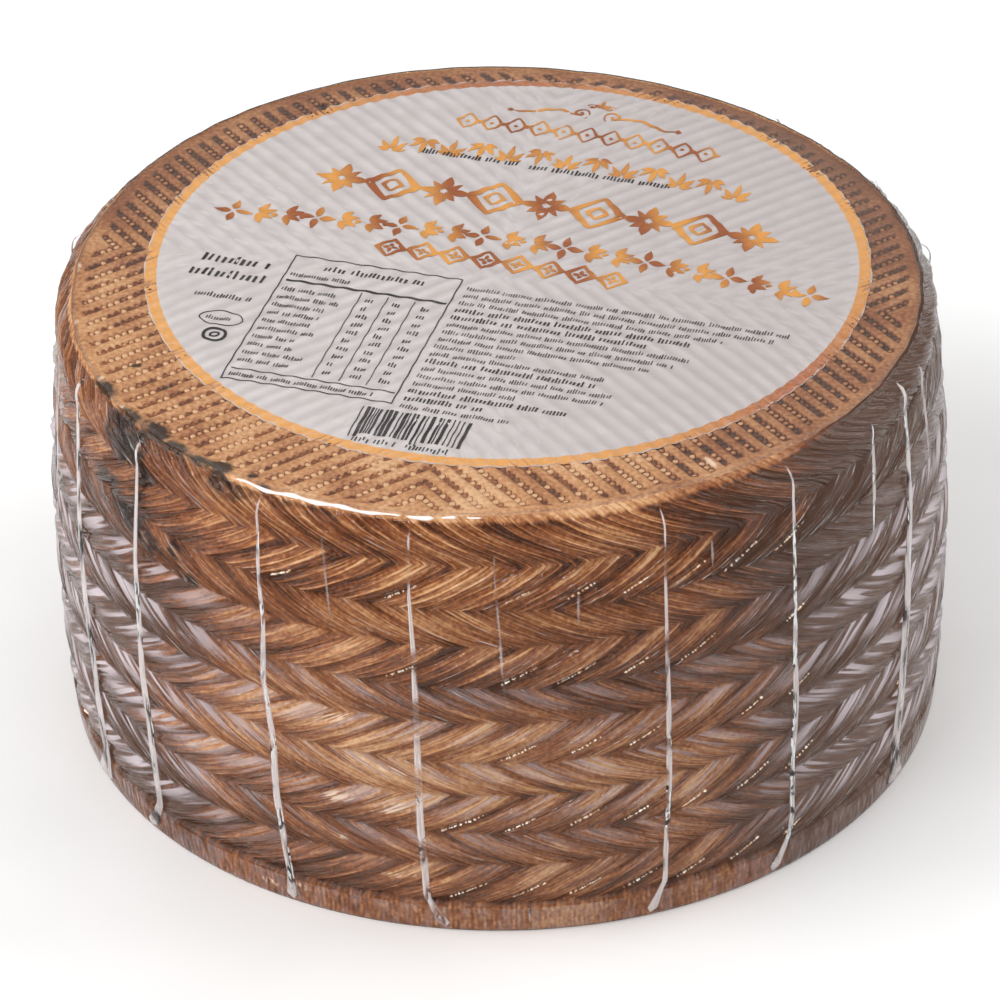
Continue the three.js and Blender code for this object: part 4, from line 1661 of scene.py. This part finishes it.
@dataclass
class InkSheet:
    """Flat print shapes in one ink, drawn on the label's plane and laid over its ribs."""

    name: str
    points: list[Pair] = field(default_factory=list)
    faces: list[tuple[int, ...]] = field(default_factory=list)
    grain: float = 0.9

    def strip(self, path: Sequence[Pair], widths: Sequence[float], closed: bool = False) -> None:
        """Draws a stroke along a path.

        Args:
            path: places on the label.
            widths: the stroke's width at each place.
            closed: True where the end meets the start.
        """
        line = np.array(path, float)
        if closed:
            tangent = np.roll(line, -1, 0) - np.roll(line, 1, 0)
        else:
            tangent = np.gradient(line, axis=0)
        tangent /= np.maximum(np.linalg.norm(tangent, axis=1, keepdims=True), 1e-9)
        normal = np.stack([-tangent[:, 1], tangent[:, 0]], 1)
        half = np.array(widths, float)[:, None] / 2
        first = len(self.points)
        for left, right in zip(line + normal * half, line - normal * half):
            self.points.extend((tuple(left), tuple(right)))
        count = len(line)
        for i in range(count if closed else count - 1):
            a, b = first + 2 * i, first + 2 * ((i + 1) % count)
            self.faces.append((a + 1, b + 1, b, a))

    def line(self, start: Pair, end: Pair, width: float) -> None:
        """Draws a straight rule."""
        steps = max(1, math.ceil(math.dist(start, end) / self.grain))
        path = [(start[0] + (end[0] - start[0]) * k / steps, start[1] + (end[1] - start[1]) * k / steps)
                for k in range(steps + 1)]
        self.strip(path, [width] * (steps + 1))

    def loop(
        self, centre: Pair, reach: Pair, width: float, power: float = 2.0,
        contrast: float = 0.5,
    ) -> None:
        """Draws a closed outline, a lozenge at power 1 and an oval at power 2.

        Args:
            centre: its middle.
            reach: its half width and half height.
            width: the pen's greatest width.
            power: how round it is.
            contrast: how much thinner the pen is on level strokes.
        """
        steps = max(16, int(2 * math.pi * max(reach) / (0.8 * self.grain)) // 4 * 4)
        path, widths = [], []
        for k in range(steps):
            a = 2 * math.pi * k / steps
            c, s = math.cos(a), math.sin(a)
            x = reach[0] * math.copysign(abs(c) ** (2 / power), c)
            y = reach[1] * math.copysign(abs(s) ** (2 / power), s)
            path.append((centre[0] + x, centre[1] + y))
            widths.append(width * (1 - contrast * abs(s)))
        self.strip(path, widths, closed=True)

    def petal(self, root: Pair, length: float, width: float, turn: float) -> None:
        """Draws a filled leaf from its root along a direction."""
        steps = max(6, math.ceil(length / (0.7 * self.grain)))
        r = math.radians(turn)
        path, widths = [], []
        for k in range(steps + 1):
            t = k / steps
            path.append((root[0] + length * t * math.cos(r), root[1] + length * t * math.sin(r)))
            widths.append(max(0.02, width * math.sin(math.pi * t**0.8)))
        self.strip(path, widths)

    def fan(
        self, root: Pair, turns: Sequence[float], lengths: Sequence[float], width: float
    ) -> None:
        """Draws several leaves from a little way round one root, along the given directions."""
        for turn, length in zip(turns, lengths):
            out = 0.12 * length
            start = (root[0] + out * math.cos(math.radians(turn)), root[1] + out * math.sin(math.radians(turn)))
            self.petal(start, length - out, width, turn)

    def dot(self, centre: Pair, radius: float) -> None:
        """Draws a filled dot."""
        self.petal((centre[0] - radius, centre[1]), 2 * radius, 2 * radius, 0)

    def curl(self, centre: Pair, radius: float, turns: float, turn: float, width: float) -> None:
        """Draws a spiral that opens outwards from its centre."""
        steps = max(18, int(26 * abs(turns)))
        path, widths = [], []
        for k in range(steps + 1):
            t = k / steps
            a = math.radians(turn) + 2 * math.pi * turns * t
            path.append((centre[0] + radius * t * math.cos(a), centre[1] + radius * t * math.sin(a)))
            widths.append(width * (0.45 + 0.55 * math.sin(math.pi * min(1.0, t + 0.12))))
        self.strip(path, widths)

    def ticks(
        self, start: float, end: float, level: float, height: float, width: float, rng: np.random.Generator
    ) -> None:
        """Draws a line of small plain ticks in runs, in the place of fine print.

        Args:
            start: where the line begins.
            end: where it ends.
            level: its foot.
            height: the ticks' height.
            width: the ticks' width.
            rng: the source of their unevenness.
        """
        u = start
        left = int(rng.integers(5, 16))
        while u < end:
            tall = height * (1.0 if rng.uniform() < 0.3 else 0.74)
            self.strip([(u, level), (u + 0.06 * height, level + tall)], [width * rng.uniform(0.75, 1.15)] * 2)
            left -= 1
            u += max(0.42 * height, 2.1 * width) * rng.uniform(0.85, 1.15)
            if left == 0:
                u += height * 0.5
                left = int(rng.integers(3, 16))


@dataclass
class PaperLabel:
    """The round paper label: it follows the ribs and carries generic print in gold and black."""

    form: WheelForm
    ribs: PressRibs
    lie: PaperForm
    turn: float = -17.5
    thickness: float = 0.12
    columns: int = 720
    rings: int = 112
    print_lift: float = 0.12
    colour_pitch: float = 21.0
    copper_arcs: tuple[Pair, ...] = ((-40, 24), (92, 26))
    seed: int = 77

    def paper(self) -> bpy.types.Object:
        """Makes the sheet of paper, a thin closed disc."""
        azimuth = np.arange(self.columns) * 360.0 / self.columns
        turn = np.radians(azimuth)
        shell = Lattice("label_sheet")
        radii = np.linspace(0, self.lie.radius, self.rings)
        for under, order in ((True, radii[::-8][::-1]), (False, radii[::-1])):
            for radius in order:
                edge = 0.12 * Ripple(5, 30, 20).at(azimuth) * smoothstep(78, 82, radius)
                x = self.lie.centre[0] + (radius + edge) * np.cos(turn)
                y = self.lie.centre[1] + (radius + edge) * np.sin(turn)
                height = self.lie.height_at(x, y) - (self.thickness if under else 0.0)
                # Painted shade: darker over the grooves and towards the right.
                dip = 0.85 * self.ribs.swell(x, y) + 0.7 * smoothstep(-25, 50, x)
                points = self.form.top_point(x, y, height)
                shell.add(points, dip=dip, reach=radius + edge, passing=self.copper(azimuth))
        return shell.build()

    def spot(self, u: Array, v: Array) -> tuple[Array, Array]:
        """A place on the label's own axes, as one about the wheel's middle."""
        r = math.radians(self.turn)
        x = self.lie.centre[0] + u * math.cos(r) - v * math.sin(r)
        y = self.lie.centre[1] + u * math.sin(r) + v * math.cos(r)
        return x, y

    def passing(self, flat: Array) -> Array:
        """How far the first ink has passed into the second, 0 to 1, at places on the label."""
        u, v = flat[:, 0], flat[:, 1]
        wave = 0.5 - 0.5 * np.cos(2 * np.pi * (u + 0.55 * v - 5.0) / self.colour_pitch)
        return wave * (1 - 0.65 * smoothstep(36, 40, v) * smoothstep(50, 46, v))

    def copper(self, azimuth: Array) -> Array:
        """How far the ring's gold has passed into copper at an azimuth, 0 to 1."""
        share = np.zeros_like(azimuth)
        for at, spread in self.copper_arcs:
            share = share + np.exp(-((wrapped(azimuth - at) / spread) ** 2))
        return np.clip(share, 0, 1)

    def lay_print(self, sheet: InkSheet) -> bpy.types.Object:
        """Lays a sheet of print shapes over the paper's ribs, as thin closed shapes.

        Args:
            sheet: the shapes.

        Returns:
            The piece.
        """
        flat = np.array(sheet.points)
        x, y = self.spot(flat[:, 0], flat[:, 1])
        height = self.lie.height_at(x, y) + self.print_lift
        mesh = bpy.data.meshes.new(sheet.name)
        mesh.from_pydata(self.form.top_point(x, y, height).tolist(), [], sheet.faces)
        mark = mesh.attributes.new("passing", "FLOAT", "POINT")
        mark.data.foreach_set("value", self.passing(flat).astype(np.float32))
        piece = bpy.data.objects.new(sheet.name, mesh)
        bpy.context.scene.collection.objects.link(piece)
        select_only(piece)
        wall = piece.modifiers.new("thickness", "SOLIDIFY")
        wall.thickness = 0.05 * MM
        wall.offset = -1
        bpy.ops.object.modifier_apply(modifier=wall.name)
        bpy.ops.object.mode_set(mode="EDIT")
        bpy.ops.mesh.select_all(action="SELECT")
        bpy.ops.mesh.normals_make_consistent(inside=False)
        bpy.ops.object.mode_set(mode="OBJECT")
        return piece

    def gold(self) -> bpy.types.Object:
        """Makes the gold print: the friezes and the ornament."""
        sheet = InkSheet("gold_print")
        for frieze in FRIEZES:
            self._frieze(sheet, frieze)
        self._ornament(sheet)
        return self.lay_print(sheet)

    def _frieze(self, sheet: InkSheet, frieze: Frieze) -> None:
        """Draws one row of motifs."""
        pitch = (frieze.end - frieze.start) / frieze.count
        h, w = frieze.height, frieze.stroke
        for k in range(frieze.count):
            u = frieze.start + pitch * (k + 0.5)
            v = frieze.baseline(u)
            if frieze.motif is Motif.LOZENGE:
                sheet.loop((u, v), (0.4 * pitch, h / 2), w, 1.15)
                sheet.dot((u, v), w * 0.55)
                sheet.dot((u + pitch / 2, v), w * 0.75)
            elif frieze.motif is Motif.PALMETTE:
                flip = 1 if k % 2 == 0 else -1
                root = (u, v - flip * h * 0.46)
                turns = [flip * turn for turn in (90, 54, 126, 22, 158)]
                sheet.fan(root, turns, [h * 0.98, h * 0.74, h * 0.74, h * 0.5, h * 0.5], w * 1.25)
            elif frieze.motif is Motif.ROSETTE:
                self._rosette(sheet, (u, v), h, w, k)
            elif frieze.motif is Motif.GARLAND:
                turns = (66, -66, 24, -24) if k % 3 else (90, -90, 0, 180)
                sheet.fan((u - (0.16 if k % 3 else 0.0) * pitch, v), turns, [h * 0.54] * 4, w)
                sheet.dot((u + 0.5 * pitch, v), w * 0.42)
            else:
                sheet.loop((u, v), (0.42 * pitch, h * 0.46), w, 1.0)
                sheet.fan((u, v), (90, -90, 0, 180), [h * 0.24] * 4, w * 0.7)

    @staticmethod
    def _rosette(sheet: InkSheet, centre: Pair, h: float, w: float, number: int) -> None:
        """Draws a rosette of eight leaves, or a double lozenge between two."""
        if number % 2 == 0:
            sheet.fan(centre, range(0, 360, 90), [h * 0.5] * 4, w * 1.35)
            sheet.fan(centre, range(45, 360, 90), [h * 0.4] * 4, w * 0.8)
        else:
            sheet.loop(centre, (h * 0.44, h / 2), w * 1.15, 1.1)
            sheet.loop(centre, (h * 0.17, h * 0.2), w * 0.6, 1.1)

    @staticmethod
    def _ornament(sheet: InkSheet) -> None:
        """Draws the flourish at the head: two scrolls in the middle and a waving line to each side."""
        u0, v0 = 1.5, 66.0
        for side in (-1, 1):
            steps = 30
            path = []
            for k in range(steps + 1):
                t = k / steps
                path.append((u0 + side * (4.6 + 15.4 * t), v0 + 0.3 + 1.5 * math.sin(math.pi * 1.7 * t)))
            sheet.strip(path, [0.35 + 0.6 * math.sin(math.pi * k / steps) for k in range(steps + 1)])
            sheet.dot((u0 + side * 20.4, v0 - 0.9), 0.75)
            sheet.curl((u0 + side * 4.0, v0 + 1.6), 2.4, 1.4 * side, 90, 0.75)
            sheet.curl((u0 + side * 2.2, v0 + 5.2), 1.3, -1.2 * side, 90, 0.6)
        sheet.fan((u0, v0 + 4.6), (90, 50, 130), (4.0, 2.6, 2.6), 1.0)

    def black(self) -> bpy.types.Object:
        """Makes the black print: rules, ticks in the place of words, bars and plain marks."""
        sheet = InkSheet("black_print")
        rng = np.random.default_rng(self.seed)
        self._table(sheet, rng)
        self._text_block(sheet, rng)
        self._bars(sheet, rng)
        sheet.ticks(-66.5, -50.5, -17.6, 3.1, 0.72, rng)
        sheet.ticks(-67.5, -49.5, -23.6, 3.1, 0.72, rng)
        sheet.ticks(-63.4, -50.0, -31.8, 1.7, 0.34, rng)
        sheet.loop((-54.4, -39.7), (5.0, 2.8), 0.28, 2.0, 0.1)
        sheet.ticks(-57.6, -51.4, -40.6, 1.4, 0.26, rng)
        sheet.loop((-53.6, -46.4), (2.5, 2.5), 0.7, 2.0, 0.0)
        sheet.loop((-53.6, -46.4), (1.0, 1.0), 0.5, 2.0, 0.0)
        sheet.ticks(-33.0, -10.0, 40.6, 2.0, 0.42, rng)
        sheet.ticks(-7.0, 26.5, 40.2, 2.0, 0.42, rng)
        return self.lay_print(sheet)

    @staticmethod
    def _table(sheet: InkSheet, rng: np.random.Generator) -> None:
        """Draws the ruled table with rows of ticks."""
        left, right, top, foot = -46.6, -7.4, -10.2, -62.2
        for start, end in (((left, top), (right, top)), ((left, foot), (right, foot)),
                           ((left, top), (left, foot)), ((right, top), (right, foot))):
            sheet.line(start, end, 0.28)
        sheet.line((left + 1, -20.6), (right - 0.6, -20.6), 0.7)
        sheet.line((left + 1, -58.0), (right - 0.6, -58.0), 0.28)
        sheet.ticks(-38.5, -15.5, -14.9, 2.0, 0.5, rng)
        sheet.ticks(-45.2, -31.5, -18.7, 1.4, 0.28, rng)
        for u in (-27.4, -21.2, -14.9):
            sheet.line((u, -21.6), (u, -57.0), 0.2)
        for row in range(10):
            level = -25.0 - 3.35 * row
            sheet.ticks(-45.2, -45.2 + rng.uniform(9, 15.5), level, 1.45, 0.28, rng)
            for u in (-25.6, -19.3, -12.6):
                sheet.ticks(u, u + rng.uniform(1.2, 2.6), level, 1.55, 0.32, rng)
        sheet.ticks(-45.2, -12.5, -60.9, 1.4, 0.28, rng)

    @staticmethod
    def _text_block(sheet: InkSheet, rng: np.random.Generator) -> None:
        """Draws the block of fine print at the right: lines of ticks, some of them bold."""
        lines = ((68.5, 1), (66.0, 1), (55.0, 1), (49.0, 2), (40.5, 2), (51.0, 1), (47.5, 1), (43.0, 1), (13.0, 1),
                 (34.5, 1), (33.0, 2), (38.0, 1), (36.5, 1), (17.5, 1), (30.5, 2), (12.5, 2), (19.0, 1))
        for number, (end, weight) in enumerate(lines):
            level = -14.0 - 3.08 * number
            sheet.ticks(-5.2, end, level, 1.5 + 0.3 * (weight - 1), 0.25 + 0.15 * (weight - 1), rng)

    @staticmethod
    def _bars(sheet: InkSheet, rng: np.random.Generator) -> None:
        """Draws the block of bars, in a rhythm of no meaning."""
        u, end, module = -12.9, 11.6, 0.27
        count = 0
        while u < end:
            bar = module * int(rng.integers(1, 4))
            tall = 11.4 if count in (0, 1, 14, 15, 28, 29) else 10.0
            sheet.line((u + bar / 2, -64.9), (u + bar / 2, -64.9 - tall), bar * 0.96)
            u += bar + module * int(rng.integers(1, 4))
            count += 1
        sheet.ticks(-11.4, -1.6, -78.0, 1.9, 0.34, rng)
        sheet.ticks(0.6, 10.4, -78.0, 1.9, 0.34, rng)


# ---- The studio ----


def towards(azimuth: float, elevation: float) -> Vector:
    """The unit vector that points to an azimuth and elevation, both in degrees."""
    a, e = math.radians(azimuth), math.radians(elevation)
    return Vector((math.cos(e) * math.cos(a), math.cos(e) * math.sin(a), math.sin(e)))


@dataclass(frozen=True)
class Lamp:
    """A soft box: where it stands from the wheel, its size in metres and its strength."""

    name: str
    azimuth: float
    elevation: float
    distance: float
    size: Pair
    watts: float


@dataclass
class Studio:
    """A pale floor, soft boxes and the camera at the photo's angle."""

    axis: Pair
    unit: float = 0.992
    focal: float = 5.4733
    sensor: float = 36.0
    distance: float = 1269.9
    elevation: float = 34.41
    roll: float = -0.99
    aside: float = -0.2
    aim_height: float = 46.4
    room: float = 0.3
    lamps: tuple[Lamp, ...] = (
        Lamp("key", -148, 50, 1.5, (1.3, 0.16), 11.0),
        Lamp("right", 12, 28, 1.4, (0.9, 1.1), 7.8),
        Lamp("left", -178, 22, 1.5, (0.9, 0.9), 7.0),
        Lamp("front", -88, 18, 2.0, (1.2, 0.5), 2.8),
        Lamp("overhead", 60, 75, 1.6, (1.4, 1.4), 6.6),
    )

    def camera(self) -> None:
        """Makes the camera and looks through it."""
        e, roll = math.radians(self.elevation), math.radians(self.roll)
        scale = self.unit * MM
        place = Vector((
            self.aside * scale + self.axis[0] * MM,
            -self.distance * math.cos(e) * scale + self.axis[1] * MM,
            (self.aim_height + self.distance * math.sin(e)) * scale,
        ))
        ahead = Vector((0, math.cos(e), -math.sin(e)))
        right = Vector((1, 0, 0))
        up = right.cross(ahead)
        level = math.cos(roll) * right + math.sin(roll) * up
        upright = -math.sin(roll) * right + math.cos(roll) * up
        data = bpy.data.cameras.new("camera")
        data.sensor_width = self.sensor
        data.lens = self.sensor * self.focal
        data.clip_start, data.clip_end = 0.05, 40.0
        camera = bpy.data.objects.new("camera", data)
        bpy.context.scene.collection.objects.link(camera)
        turn = Matrix((level, upright, -ahead)).transposed()
        camera.matrix_world = Matrix.Translation(place) @ turn.to_4x4()
        bpy.context.scene.camera = camera

    def lights(self) -> None:
        """Sets up the soft boxes and the pale room."""
        middle = Vector((self.axis[0] * MM, self.axis[1] * MM, 0.05))
        for lamp in self.lamps:
            data = bpy.data.lights.new(lamp.name, "AREA")
            data.shape = "RECTANGLE"
            data.size, data.size_y = lamp.size
            data.energy = lamp.watts
            light = bpy.data.objects.new(lamp.name, data)
            bpy.context.scene.collection.objects.link(light)
            direction = towards(lamp.azimuth, lamp.elevation)
            light.location = middle + direction * lamp.distance
            light.rotation_euler = direction.to_track_quat("Z", "Y").to_euler()
        world = bpy.data.worlds.new("pale_room")
        world.use_nodes = True
        bpy.context.scene.world = world
        background = world.node_tree.nodes["Background"]
        background.inputs["Color"].default_value = (1.0, 1.0, 1.0, 1.0)
        background.inputs["Strength"].default_value = self.room
        bpy.context.scene.view_settings.view_transform = "Standard"
        bpy.context.scene.cycles.diffuse_bounces = 2
        bpy.context.scene.cycles.glossy_bounces = 1

    def floor(self) -> None:
        """Makes the pale floor."""
        select_only(None)
        bpy.ops.mesh.primitive_plane_add(size=12.0, location=(0, 0, 0))
        floor = bpy.context.object
        floor.name = "floor"
        material, g, out = new_material("floor")
        speck = g.noise(g.place(), 30.0, 2)
        colour = g.ramp(speck, ((0.3, srgb(250, 250, 250)), (0.7, srgb(254, 254, 254))))
        inputs = {"Base Color": colour, "Roughness": 0.8, "Emission Color": colour, "Emission Strength": 0.07}
        g.surface(out, inputs)
        floor.data.materials.append(material)


# ---- All of it ----


def dress(piece: bpy.types.Object, material: bpy.types.Material, node: str) -> None:
    """Gives a piece its material and its place in the model.

    Args:
        piece: the piece.
        material: its material.
        node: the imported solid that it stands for.
    """
    piece.data.materials.clear()
    piece.data.materials.append(material)
    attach(piece, "root")
    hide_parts(node)
    LOG.info("%s: %d faces", piece.name, len(piece.data.polygons))


def let_light_by(piece: bpy.types.Object) -> bpy.types.Object:
    """Makes light pass by a clear piece, which casts no shadow."""
    piece.visible_shadow = False
    piece.visible_diffuse = False
    return piece


def main() -> None:
    """Builds the studio, the cheese, the label and the film."""
    form = WheelForm()
    band = PlaitedBand(form)
    ribs = PressRibs()
    axis = (form.foot[0] + form.lean[0] / 2, form.foot[1] + form.lean[1] / 2)
    studio = Studio(axis)
    studio.camera()
    studio.lights()
    studio.floor()
    groups = SurfaceGroups(fibre_streaks(), fibre_ridges(), press_beads(ribs), RindPigment().build())
    cheese = Cheese(form, band, ribs)
    dress(cheese.body(), PlaitedFinish().build(groups), "wheel")
    ribbed = RibbedFinish().build(groups)
    dress(cheese.top(), ribbed, "wheel")
    dress(cheese.base(), ribbed, "wheel")
    lie = PaperForm(form, ribs)
    label = PaperLabel(form, ribs, lie)
    dress(label.paper(), PaperFinish().build(), "label")
    gold = InkFinish("gold_ink", srgb(224, 156, 76), srgb(158, 88, 48)).build()
    dress(label.gold(), gold, "label")
    black = InkFinish("black_ink", srgb(46, 42, 44), srgb(66, 60, 62)).build()
    dress(label.black(), black, "label")
    film = ShrinkFilm(form, band, ribs, cheese, lie)
    clear = (
        (film.bag, FilmFinish()),
        (film.pleats, FilmFinish("pleat_film", milk_and_sheen=srgb(228, 218, 216))),
        # Near-white veil on the rim's folds: a painted highlight.
        (film.fold, FilmFinish("rim_highlight_film", milk_and_sheen=srgb(255, 250, 246), least=1.0)),
    )
    for make, finish in clear:
        dress(let_light_by(make()), finish.build(groups), "wheel")
    dress(film.sparks(), SparkFinish().build(), "wheel")


if __name__ == "__main__":
    main()
